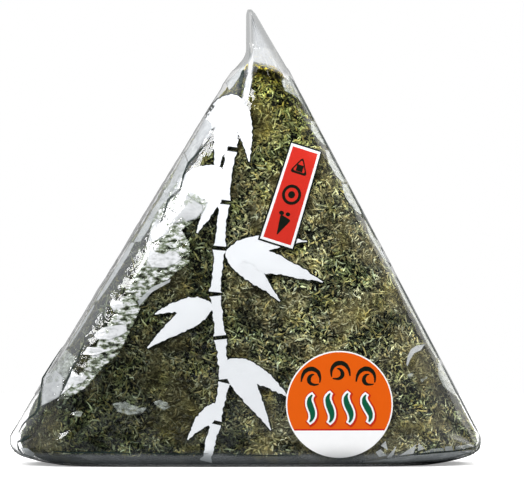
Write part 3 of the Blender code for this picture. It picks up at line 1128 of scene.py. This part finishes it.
def joined(parts):
    """All the bmeshes in one, with the attributes of the first."""
    whole = bmesh.new()
    for layer in parts[0].verts.layers.float.keys():
        whole.verts.layers.float.new(layer)
    for part in parts:
        mesh = bpy.data.meshes.new("part")
        part.to_mesh(mesh)
        part.free()
        whole.from_mesh(mesh)
        bpy.data.meshes.remove(mesh)
    return whole


def leaf_width(width):
    """A bamboo leaf: a thin stalk that swells quickly, then a long taper."""
    return lambda share: 0.25 + width * math.sin(math.pi * share**0.62) ** 1.15


def stem_width(width):
    """A bamboo joint: nearly even, a little wider at both ends."""
    return lambda share: width * (0.86 + 0.34 * (2 * share - 1) ** 4)


def leaf_curve(x, z, angle, length, bend):
    start = Vector((x, z))
    forward = Vector((math.cos(math.radians(angle)), math.sin(math.radians(angle))))
    sideways = Vector((-forward.y, forward.x))
    return [start, start + forward * length * 0.5 + sideways * bend, start + forward * length]


# %% [markdown]
# ### The sprig's drawing
#
# The stem climbs in five joints with small gaps. Leaves hang from it in groups, as bamboo leaves are painted: each
# group fans out from one place and points down. Angles are in degrees from the +X direction.

# %% Sprig
STEM_POINTS = [(-8.6, 0.9), (-4.6, 18), (-6.6, 36), (-4.8, 55), (-1.8, 77)]
LEAF_GROUPS = [
    (-2.4, 77.0, [(232, 12, 3.2, -1.2), (256, 17, 4.0, -0.8), (282, 14, 3.4, 1.0)]),
    (-4.9, 61.5, [(200, 13, 3.2, -1.4), (222, 18, 4.2, -1.0), (247, 14, 3.4, 0.6)]),
    (-4.4, 44.5, [(8, 17, 3.4, 1.6), (343, 21, 4.4, 1.4), (318, 15, 3.6, 1.0)]),
    (-7.2, 33.5, [(188, 12, 3.0, -1.6), (213, 16, 4.0, -1.2)]),
    (-4.4, 22.0, [(330, 15, 3.6, 1.6), (303, 17, 4.2, 1.0)]),
    (-5.4, 13.0, [(226, 10, 3.0, -1.0)]),
]


def stem_joints():
    """The stem cut into joints with small gaps, as straight runs of three points."""
    joints = []
    for low, high in zip(STEM_POINTS, STEM_POINTS[1:]):
        for start, end in ((0.02, 0.475), (0.52, 0.975)):
            joints.append([Vector(low).lerp(Vector(high), mix(start, end, i / 2)) for i in range(3)])
    return joints


def sprig_strokes(extra):
    strokes = [brush_stroke(joint, stem_width(2.2), 24, seed, extra) for seed, joint in enumerate(stem_joints())]
    for x, z, leaves in LEAF_GROUPS:
        for angle, length, width, bend in leaves:
            curve = leaf_curve(x, z, angle, length, bend)
            strokes.append(brush_stroke(curve, leaf_width(width), 48, 20 + len(strokes), extra))
    return strokes


def sprig(name, material, extra, depth):
    """All the strokes, each a hair deeper than the last so that crossings stay clean."""
    strokes = sprig_strokes(extra)
    for i, stroke in enumerate(strokes):
        lay_on_film(stroke, depth + i * 0.0015 * MM)
    return finish_piece(name, joined(strokes), [material])


def ink_material(name, colour, roughness=0.35, grain=0.06):
    """Flat printing ink, very slightly uneven in tone."""
    material, tree, shader = new_material(name, Roughness=roughness, Specular_IOR_Level=0.2)
    place = add_node(tree, "TexCoord").outputs["Object"]
    uneven = add_node(tree, "TexNoise", {"Scale": 500.0, "Detail": 3.0}, {"Vector": place})
    darker = tuple(c * (1 - grain) for c in colour[:3]) + (1,)
    tree.links.new(mixed(tree, uneven.outputs["Fac"], darker, colour), shader.inputs["Base Color"])
    return material


WHITE_INK = ink_material("white_ink", (0.88, 0.90, 0.93, 1))
# Dark ink for the label, its pictures and the flakes; under the sprig the same ink is painted shadow.
DARK_INK_AND_SHADE = ink_material("dark_ink_and_shadow_edge", (0.006, 0.010, 0.006, 1))
sprig("printed_sprig", WHITE_INK, 0.0, UNDER_FILM)
# The dark copy is painted shadow round the print.
sprig("sprig_shadow_edge", DARK_INK_AND_SHADE, SHADOW_EDGE / MM, UNDER_FILM + 0.08 * MM)

# %% [markdown]
# ### The red label
#
# A leaning red band with a white border and a black outline. Its grid has rows exactly on the borders, so that each
# field of colour is a set of faces with its own material. Three plain black pictures stand in a column on it: a rice
# triangle, a cut roll and a hand roll.

# %% Label
LABEL_CENTRE = (9.2, 56.3)
LABEL_LENGTH, LABEL_TOP_WIDTH, LABEL_FOOT_WIDTH = 21.5, 7.0, 7.8
LABEL_LEAN = math.radians(17.7)
OUTLINE, BORDER = 0.35, 0.55


def with_borders(length, steps):
    """Stations from 0 to length with the outline and the border marked exactly."""
    inner = OUTLINE + BORDER
    middle = [mix(inner, length - inner, i / steps) for i in range(steps + 1)]
    return [0, OUTLINE] + middle + [length - OUTLINE, length]


def label_place(across, along):
    """From a place on the upright label, in millimetres from its centre, to the leaning one's x and z in metres."""
    width = mix(LABEL_FOOT_WIDTH, LABEL_TOP_WIDTH, along / LABEL_LENGTH + 0.5)
    x, z = across * width / LABEL_FOOT_WIDTH, along
    turned_x = x * math.cos(LABEL_LEAN) + z * math.sin(LABEL_LEAN)
    turned_z = z * math.cos(LABEL_LEAN) - x * math.sin(LABEL_LEAN)
    return Vector(((LABEL_CENTRE[0] + turned_x) * MM, 0, (LABEL_CENTRE[1] + turned_z) * MM))


def red_label():
    across, along = with_borders(LABEL_FOOT_WIDTH, 14), with_borders(LABEL_LENGTH, 40)
    bm = bmesh.new()
    bmesh.ops.create_grid(bm, x_segments=len(across) - 1, y_segments=len(along) - 1, size=1)
    for face in bm.faces:
        middle = face.calc_center_median()
        column = int((middle.x + 1) / 2 * (len(across) - 1))
        row = int((middle.y + 1) / 2 * (len(along) - 1))
        to_edge = min(column, row, len(across) - 2 - column, len(along) - 2 - row)
        face.material_index = min(to_edge, 2)
    for vert in bm.verts:
        column = round((vert.co.x + 1) / 2 * (len(across) - 1))
        row = round((vert.co.y + 1) / 2 * (len(along) - 1))
        vert.co = label_place(across[column] - LABEL_FOOT_WIDTH / 2, along[row] - LABEL_LENGTH / 2)
    lay_on_film(bm, UNDER_FILM * 0.6)
    red = ink_material("red_ink", (0.62, 0.032, 0.020, 1), 0.3)
    return finish_piece("red_label", bm, [DARK_INK_AND_SHADE, WHITE_INK, red])


def filled_outline(points):
    """A flat face with this outline, cut into a fine web so that it can follow a curved surface."""
    bm = bmesh.new()
    bmesh.ops.create_circle(bm, segments=len(points), radius=1, cap_ends=True)
    ring = sorted(bm.verts, key=lambda v: math.atan2(v.co.y, v.co.x))
    for vert, (x, z) in zip(ring, points):
        vert.co = (x, 0, z)
    bm.normal_update()
    bmesh.ops.triangulate(bm, faces=bm.faces)
    return bm


def ring_outline(radius, count=28, squash=1.0, start=0.0):
    turns = [start + 2 * math.pi * i / count for i in range(count)]
    return [(radius * math.cos(t), radius * squash * math.sin(t)) for t in turns]


def rounded(corners, radius, steps=5):
    """A polygon's outline with each corner replaced by a small curve."""
    points = []
    for i, corner in enumerate(corners):
        here = Vector(corner)
        before = (Vector(corners[i - 1]) - here).normalized() * radius
        after = (Vector(corners[(i + 1) % len(corners)]) - here).normalized() * radius
        points += [curve_point([here + before, here, here + after], j / steps)[:2] for j in range(steps + 1)]
    return points


def ring_band(outline, inner):
    """The band between an outline and a smaller copy of it."""
    bm = bmesh.new()
    count = len(outline)
    bmesh.ops.create_grid(bm, x_segments=count, y_segments=1, size=1)
    for vert in bm.verts:
        x, z = outline[round((vert.co.x + 1) / 2 * count) % count]
        size = 1.0 if vert.co.y > 0 else inner
        vert.co = (x * size, 0, z * size)
    bmesh.ops.remove_doubles(bm, verts=bm.verts, dist=1e-6)
    return bm


def moved(bm, place):
    for vert in bm.verts:
        vert.co = place(vert.co.x, vert.co.z)
    return bm


def label_pictures():
    triangle = rounded([(-2.1, -1.7), (2.1, -1.7), (0, 2.0)], 0.9)
    cone = rounded([(-1.0, 2.1), (1.5, 1.5), (-0.5, -2.4)], 0.5)
    parts = [
        moved(ring_band(triangle, 0.72), lambda x, z: label_place(x, z + 6.4)),
        moved(filled_outline([(-0.75, -1.15), (0.75, -1.15), (0.75, 0.2), (-0.75, 0.2)]),
              lambda x, z: label_place(x, z + 6.4)),
        moved(ring_band(ring_outline(2.1), 0.70), lambda x, z: label_place(x, z + 0.2)),
        moved(filled_outline(ring_outline(0.75)), lambda x, z: label_place(x, z + 0.2)),
        moved(filled_outline(cone), lambda x, z: label_place(x, z - 6.4)),
        moved(filled_outline(ring_outline(0.55, 14, 0.8)), lambda x, z: label_place(x - 0.9, z - 4.0)),
        moved(filled_outline(ring_outline(0.5, 14, 0.8)), lambda x, z: label_place(x + 0.5, z - 3.9)),
    ]
    for part in parts:
        lay_on_film(part, UNDER_FILM * 0.6 - 0.03 * MM)
    return finish_piece("label_pictures", joined(parts), [DARK_INK_AND_SHADE])


red_label()
label_pictures()

# %% [markdown]
# ### Painted light on the film
#
# Where the film is creased over itself, a facet would turn towards a softbox and show as a crisp pale patch. Here such
# patches are painted: each is a small sheet of the same film laid on the outside, with its own haze: near 1 is a
# painted white glint, and 0.3 a painted veil of reflection. The outlines are in millimetres. The strips just inside
# both edges are painted reflection too, drawn from lists of heights and widths. Narrow dark strips along creases and
# down the right
# edge carry the shade attribute: they are painted shade.

# %% Painted highlights, reflections and shade on the film
# Painted highlight: the milky, spotted band down the left edge.
PAINTED_HIGHLIGHT_BAND = [
    (-16.3, 59.6), (-19.4, 51.9), (-20.6, 46.7), (-22.5, 41.5), (-25.4, 36.3), (-28.1, 31.1), (-30.4, 26.9), (-33.8, 20.6),
    (-36.9, 16.5), (-39.0, 14.2), (-37.3, 14.2), (-33.4, 16.5), (-30.2, 20.4), (-26.5, 23.8), (-24.4, 27.9), (-21.9, 33.4),
    (-19.4, 36.7), (-15.6, 39.6), (-11.9, 42.5), (-11.9, 46.7), (-13.6, 49.2), (-9.4, 52.1), (-8.1, 55.0), (-11.5, 57.1),
    (-14.4, 59.2),
]
# Painted highlights and reflections: the glints are near white, the veils faint.
PAINTED_REFLECTIONS = [
    # the upper part of the left edge
    (0.56, [(-8.6, 72.6), (-7.2, 71.1), (-7.2, 68.8), (-9.1, 67.1), (-10.8, 64.6), (-12.1, 63.1), (-12.8, 65.0), (-10.0, 69.6)]),
    (0.46, [(-12.9, 65.0), (-12.1, 63.1), (-13.3, 59.8), (-14.0, 57.6), (-15.9, 55.9), (-16.5, 57.6), (-14.8, 61.4)]),
    (0.42, [(-16.5, 57.8), (-15.9, 55.9), (-17.0, 55.0), (-18.9, 52.4), (-20.4, 49.2), (-22.1, 46.7), (-23.4, 46.7), (-19.5, 53.4)]),
    # the glints of the left band
    (0.70, [(-14.0, 56.5), (-12.5, 56.7), (-11.3, 55.7), (-9.1, 54.3), (-9.1, 53.1), (-10.4, 51.6), (-12.5, 50.9), (-15.9, 50.5),
            (-16.5, 51.6), (-16.7, 53.7), (-14.6, 53.1), (-13.3, 53.9)]),
    (0.70, [(-18.7, 51.6), (-16.7, 50.5), (-15.9, 49.2), (-16.7, 48.2), (-19.5, 46.7), (-20.1, 47.1), (-19.9, 49.2)]),
    (0.88, [(-20.0, 48.8), (-19.8, 45.9), (-18.9, 44.7), (-17.1, 44.3), (-15.7, 45.4), (-14.2, 44.5), (-13.5, 43.2), (-14.9, 42.2),
            (-17.1, 41.3), (-19.8, 41.5), (-20.7, 42.7), (-20.9, 45.2)]),
    (0.50, [(-22.3, 33.5), (-19.6, 36.4), (-16.0, 38.4), (-15.8, 39.1), (-19.8, 37.4), (-22.7, 34.5)]),
    (0.95, [(-27.9, 35.0), (-26.9, 34.4), (-25.7, 34.3), (-25.5, 33.0), (-27.7, 32.4), (-28.4, 33.6)]),
    (0.92, [(-28.6, 29.4), (-25.0, 29.8), (-24.8, 28.2), (-26.6, 27.1), (-28.6, 26.4), (-31.1, 26.6), (-31.8, 27.5), (-30.2, 28.9)]),
    (0.85, [(-33.1, 25.0), (-30.2, 24.9), (-29.1, 24.2), (-31.1, 23.3), (-34.0, 23.5)]),
    (0.92, [(-36.3, 20.3), (-35.4, 19.2), (-32.9, 19.0), (-34.0, 17.6), (-36.1, 16.9), (-37.2, 16.1), (-38.6, 14.9), (-37.7, 17.4)]),
    # the veil beside the low left corner
    (0.30, [(-37.5, 24.4), (-35.3, 22.7), (-36.2, 21.0), (-37.5, 18.2), (-41.7, 17.2), (-40.7, 20.0), (-38.9, 22.3)]),
    (0.55, [(-42.0, 18.9), (-39.6, 20.2), (-38.0, 18.7), (-38.2, 16.4), (-38.9, 14.6), (-40.7, 13.6), (-42.6, 12.6), (-42.5, 15.5)]),
    (0.30, [(-28.0, 13.2), (-25.6, 13.9), (-22.5, 12.6), (-20.8, 12.4), (-21.6, 11.4), (-24.4, 10.9), (-26.9, 11.6)]),
    (0.28, [(-19.4, 13.6), (-18.2, 14.1), (-16.6, 13.6), (-15.9, 12.6), (-17.2, 11.9), (-18.6, 12.6)]),
    (0.26, [(-36.3, 11.3), (-35.2, 11.8), (-34.0, 11.5), (-34.4, 10.6), (-35.9, 10.6)]),
    (0.50, [(-46.9, 3.9), (-45.4, 3.8), (-44.0, 2.8), (-44.2, 1.8), (-46.1, 2.4)]),
    # the crescent and small glints above the low right corner
    (0.58, [(37.0, 25.4), (36.1, 24.2), (34.7, 23.6), (33.8, 22.2), (33.3, 20.9), (33.0, 21.3), (33.3, 23.1), (34.0, 24.5), (35.2, 25.2)]),
    (0.30, [(33.2, 19.2), (34.2, 19.7), (34.7, 19.2), (34.0, 18.4), (33.4, 18.5)]),
    (0.30, [(35.9, 18.1), (37.3, 18.9), (37.5, 18.5), (36.3, 17.6)]),
    (0.90, [(27.6, 46.1), (28.5, 44.8), (30.2, 41.7), (29.7, 41.6), (27.9, 44.5)]),
    # the neck
    (0.50, [(-0.2, 83.8), (-2.2, 81.4), (-4.2, 79.6), (-3.5, 78.0), (-2.6, 78.9), (-0.9, 81.4), (-0.1, 82.7)]),
    # along the foot
    (0.46, [(27.7, 4.5), (28.7, 5.5), (29.2, 3.5)]),
    (0.44, [(26.6, 3.2), (27.7, 3.8), (28.9, 2.4), (27.3, 2.1)]),
    (0.46, [(28.9, 2.0), (31.0, 4.5), (30.4, 2.7), (29.9, 1.9)]),
    (0.52, [(31.6, 2.4), (35.1, 4.8), (34.5, 2.8)]),
    (0.42, [(35.5, 5.1), (37.0, 3.8), (35.4, 3.4)]),
    (0.36, [(35.8, 2.8), (38.4, 3.8), (40.8, 3.9), (41.0, 3.2)]),
    (0.48, [(41.0, 4.2), (42.6, 4.3), (43.0, 3.2), (41.2, 3.2)]),
    (0.36, [(43.2, 3.3), (43.4, 4.2), (46.4, 4.5), (47.5, 4.0)]),
    (0.60, [(24.0, 1.0), (28.0, 1.7), (35.0, 2.5), (41.7, 3.0), (47.4, 3.3), (46.6, 2.7), (40.6, 1.5), (32.0, 1.0)]),
]
# Painted shade: dark strips along the creases and the foot.
CREASE_SHADES = [
    (0.80, [(-0.5, 82.3), (-1.0, 80.4), (-1.3, 78.6)]),
    (0.34, [(-7.3, 68.6), (-8.8, 66.7), (-10.4, 64.8), (-12.1, 63.0), (-13.1, 60.5), (-13.8, 57.8), (-16.3, 55.5), (-17.1, 53.0), (-18.1, 50.5)]),
    (0.36, [(-33.8, 25.9), (-35.0, 22.7), (-36.3, 20.4), (-37.3, 17.9), (-38.4, 15.6)]),
    (0.4, [(-38.2, 24.8), (-40.2, 21.7), (-42.3, 18.3), (-42.6, 16.3), (-43.0, 14.2), (-43.2, 12.1), (-43.8, 11.1), (-45.2, 10.0), (-46.5, 8.5), (-47.3, 6.9)]),
    (0.55, [(-47.6, 4.9), (-46.3, 5.6), (-44.8, 6.5)]),
    (0.35, [(-47.6, 4.8), (-47.3, 3.5), (-46.5, 2.5), (-44.4, 1.8)]),
    (0.3, [(34.4, 2.6), (38.6, 3.0), (43.2, 3.2), (48.0, 3.8)]),
    (0.34, [(-40.5, 3.4), (-36.0, 3.1), (-30.0, 3.2), (-23.5, 2.9)]),
    (0.26, [(-21.5, 3.1), (-15.0, 2.8), (-8.0, 2.9)]),
    (0.22, [(-5.0, 2.8), (3.0, 2.5), (11.0, 2.6)]),
    (0.25, [(21.7, 54.4), (22.3, 53.2), (22.7, 51.7)]),
    (0.25, [(23.4, 54.2), (24.0, 53.0), (24.2, 51.5)]),
]
# Painted reflection: pale strips just inside the left and the right edge.
LEFT_STRIPS = [
    (0.50, [(46.5, 0.7), (44.0, 1.0), (40.0, 0.9), (37.0, 0.8), (34.5, 0.5)]),
    (0.42, [(33.5, 0.4), (30.0, 0.5), (27.0, 0.4), (25.0, 0.3)]),
]
RIGHT_STRIPS = [
    (0.24, [(81.0, 0.8), (80.0, 2.4), (78.0, 2.8), (76.6, 0.9), (75.0, 0.5), (72.6, 0.4)]),
    (0.36, [(71.6, 0.7), (70.0, 1.6), (68.0, 1.3), (66.6, 0.5)]),
    (0.40, [(65.6, 0.9), (63.0, 1.6), (60.5, 1.5), (59.0, 0.8)]),
    (0.38, [(58.6, 1.2), (56.0, 1.9), (53.6, 1.6), (52.4, 0.6)]),
    (0.40, [(51.0, 0.5), (48.0, 1.1), (44.0, 0.8), (41.0, 0.6)]),
    (0.36, [(39.5, 0.5), (35.0, 0.9), (30.0, 0.7), (26.0, 0.9), (22.5, 0.6)]),
    (0.44, [(21.4, 0.8), (19.0, 2.0), (16.6, 2.2), (14.8, 0.8)]),
]


def strip_outline(stations, side):
    """The outline of a strip just inside the left (-1) or right (1) edge; a station is a height and a width."""
    outer, inner = [], []
    for height, width in stations:
        edge = float(edges(np.array(height * MM))[max(side, 0)]) / MM - 0.3 * side
        outer.append((edge, height))
        inner.append((edge - side * width, height))
    return outer + inner[::-1]


def painted_light_sheet(outline, haze, rim_haze, spots, ripple, lift):
    """One sheet of painted light draped on the film: its rim and its middle have their own haze; spots and ripple
    break it up.
    """
    bm = filled_outline([(x * MM, z * MM) for x, z in outline])
    roomy = sum(f.calc_area() for f in bm.faces) / sum(e.calc_length() for e in bm.edges if e.is_boundary)
    bmesh.ops.inset_region(bm, faces=bm.faces, thickness=min(0.7 * MM, 0.6 * roomy), use_boundary=True)
    bmesh.ops.subdivide_edges(bm, edges=bm.edges, cuts=1, use_grid_fill=True)
    for name, value in (("haze", haze), ("spots", spots), ("ripple", ripple), ("shade", 0.0)):
        layer = bm.verts.layers.float.new(name)
        for vert in bm.verts:
            vert[layer] = rim_haze if name == "haze" and vert.is_boundary else value
    lay_on_film(bm, -lift)
    return bm


def along_points(points, share):
    """The place at this share of the way along a chain of points."""
    whole = min(share, 0.9999) * (len(points) - 1)
    start = int(whole)
    return Vector(points[start]).lerp(Vector(points[start + 1]), whole - start)


def painted_shade_strip(points, width):
    """A narrow dark strip of painted shade along a chain of points, tapering at both ends, in millimetres."""
    rows = 8 * (len(points) - 1)
    bm = bmesh.new()
    bmesh.ops.create_grid(bm, x_segments=rows, y_segments=1, size=1)
    for vert in bm.verts:
        share, side = (vert.co.x + 1) / 2, vert.co.y
        forward = along_points(points, min(1, share + 0.02)) - along_points(points, max(0, share - 0.02))
        sideways = Vector((-forward.y, forward.x)).normalized()
        half = width / 2 * (0.15 + 0.85 * math.sin(math.pi * share) ** 0.5)
        spot = along_points(points, share) + sideways * half * side
        vert.co = (spot.x * MM, 0, spot.y * MM)
    for name, value in (("haze", 0.88), ("spots", 0.1), ("ripple", 0.0), ("shade", 1.0)):
        layer = bm.verts.layers.float.new(name)
        for vert in bm.verts:
            vert[layer] = value
    lay_on_film(bm, -0.20 * MM)
    return bm


def painted_light_on_film():
    parts = [painted_light_sheet(PAINTED_HIGHLIGHT_BAND, 0.42, 0.15, 1.0, 0.9, 0.05 * MM)]
    for i, (haze, outline) in enumerate(PAINTED_REFLECTIONS):
        spots = 0.4 if haze > 0.7 or haze < 0.35 else 0.1
        parts.append(painted_light_sheet(outline, haze, haze * 0.4, spots, spots, (0.09 + 0.002 * i) * MM))
    for side, strips in ((-1, LEFT_STRIPS), (1, RIGHT_STRIPS)):
        for haze, stations in strips:
            spots = 0.05 if side < 0 else 0.45
            parts.append(painted_light_sheet(strip_outline(stations, side), haze, haze, spots, 0.0, 0.05 * MM))
    parts += [painted_shade_strip(points, width) for width, points in CREASE_SHADES]
    # Painted shade: a dark line just inside the right edge.
    for top, bottom in ((80.5, 72), (71, 59.5), (58.5, 47), (45.5, 41.5), (39.5, 22), (21, 7)):
        heights = [mix(top, bottom, i / 3) for i in range(4)]
        parts.append(painted_shade_strip([(float(edges(np.array(z * MM))[1]) / MM - 0.24, z) for z in heights], 0.36))
    return finish_piece("painted_light_on_film", joined(parts), [FILM_FINISH])


painted_light_on_film()

# %% [markdown]
# ## The round sticker
#
# The sticker lies on the outside of the film. It is a disc of thick paper cut into rings, and one level cut with
# `bisect_plane` parts the orange field from the white one. Its colours are fields of faces. Pictures of fish flakes
# and kelp leaves lie on it as thin layers of ink.

# %% Sticker
STICKER_THICKNESS = 0.25 * MM
STICKER_GAP = 0.3 * MM
STICKER_CUT = 8.0 * MM
RED_LINE = 0.32 * MM
WHITE_RIM = 0.28 * MM


def sticker_front(bm, depth, thickness):
    """Drapes a flat drawing on the smooth front skin, this far outside it, and thickens it inwards."""
    flat = np.array([v.co[:] for v in bm.verts])
    for vert, y in zip(bm.verts, front_skin(flat[:, 0], flat[:, 2])):
        vert.co.y = y - depth
    bm.normal_update()
    bmesh.ops.reverse_faces(bm, faces=[f for f in bm.faces if f.normal.y > 0])
    bm.normal_update()
    bmesh.ops.solidify(bm, geom=bm.faces, thickness=thickness)
    bm.normal_update()
    return bm


def sticker_disc():
    bm = bmesh.new()
    bmesh.ops.create_circle(bm, segments=96, radius=STICKER_RADIUS, cap_ends=True)
    for thickness in [WHITE_RIM] + [1.35 * MM] * 7:
        middle = max(bm.faces, key=lambda f: len(f.verts))
        bmesh.ops.inset_region(bm, faces=[middle], thickness=thickness, use_boundary=True)
    for vert in bm.verts:
        vert.co = (vert.co.x + STICKER_CENTRE[0], 0, vert.co.y + STICKER_CENTRE[1])
    for height in (STICKER_CUT, STICKER_CUT - RED_LINE):
        everything = bm.verts[:] + bm.edges[:] + bm.faces[:]
        bmesh.ops.bisect_plane(bm, geom=everything, plane_co=(0, 0, height), plane_no=(0, 0, 1))
    for face in bm.faces:
        middle = face.calc_center_median()
        far = math.hypot(middle.x - STICKER_CENTRE[0], middle.z - STICKER_CENTRE[1])
        if far > STICKER_RADIUS - WHITE_RIM or middle.z < STICKER_CUT - RED_LINE:
            face.material_index = 0
        elif middle.z < STICKER_CUT:
            face.material_index = 1
        else:
            face.material_index = 2
    sticker_front(bm, STICKER_GAP + STICKER_THICKNESS, STICKER_THICKNESS)
    paper = ink_material("sticker_white", (0.93, 0.93, 0.94, 1), 0.4)
    red = ink_material("sticker_red", (0.52, 0.012, 0.012, 1), 0.4)
    orange = ink_material("sticker_orange", (0.74, 0.106, 0.0035, 1), 0.4, 0.03)
    piece = finish_piece("printed_sticker", bm, [paper, red, orange])
    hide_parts("round_sticker")


def sticker_layer(name, parts, depth, material):
    for part in parts:
        sticker_front(part, STICKER_GAP + STICKER_THICKNESS + depth, INK)
    return finish_piece(name, joined(parts), [material])


FLAKES = [(13.4, 19.0, 1), (19.1, 20.2, -1), (24.8, 19.0, 1)]
KELP = [(12.9, 9.5, 84, 5.6, 0.8), (17.0, 9.4, 88, 6.0, 0.8), (21.1, 9.4, 92, 6.0, 0.8), (25.2, 9.5, 96, 5.6, 0.8)]


def flake_width(width):
    return lambda share: width * math.sin(math.pi * (0.06 + 0.9 * share)) ** 0.8


def flake_strokes():
    """Each shaving is a big curl with a short one inside it."""
    strokes = []
    for x, z, way in FLAKES:
        curl = [(x - 2.2 * way, z - 1.2), (x - 2.0 * way, z + 2.8), (x + 2.4 * way, z + 2.0), (x + 1.6 * way, z - 1.4)]
        strokes.append(brush_stroke(curl, flake_width(0.95), 30, x, bristle=0.25))
        curl = [(x + 1.4 * way, z - 1.7), (x - 1.4 * way, z - 2.4), (x - 0.9 * way, z + 0.5), (x + 0.5 * way, z + 0.3)]
        strokes.append(brush_stroke(curl, flake_width(0.8), 26, x + 1, bristle=0.25))
    return strokes


def kelp_strokes(extra, shift=0.0):
    """Upright leaves that sway in an S."""
    strokes = []
    for x, z, turn, length, sway in KELP:
        start, end = leaf_curve(x + shift, z - shift, turn, length, 0)[::2]
        sideways = Vector((end.y - start.y, start.x - end.x)).normalized() * sway * 2.2
        curve = [start, start.lerp(end, 0.35) + sideways, start.lerp(end, 0.7) - sideways, end]
        strokes.append(brush_stroke(curve, flake_width(1.25), 36, x + 5, extra, bristle=0.2))
    return strokes


sticker_disc()
sticker_layer("sticker_flakes", flake_strokes(), 0.03 * MM, DARK_INK_AND_SHADE)
sticker_layer("sticker_kelp_shade", kelp_strokes(0.62, 0.12), 0.03 * MM, ink_material("shade_red", (0.52, 0.02, 0.006, 1)))
sticker_layer("sticker_kelp_edge", kelp_strokes(0.36), 0.06 * MM, WHITE_INK)
sticker_layer("sticker_kelp", kelp_strokes(0.0), 0.09 * MM, ink_material("kelp_green", (0.004, 0.095, 0.045, 1)))
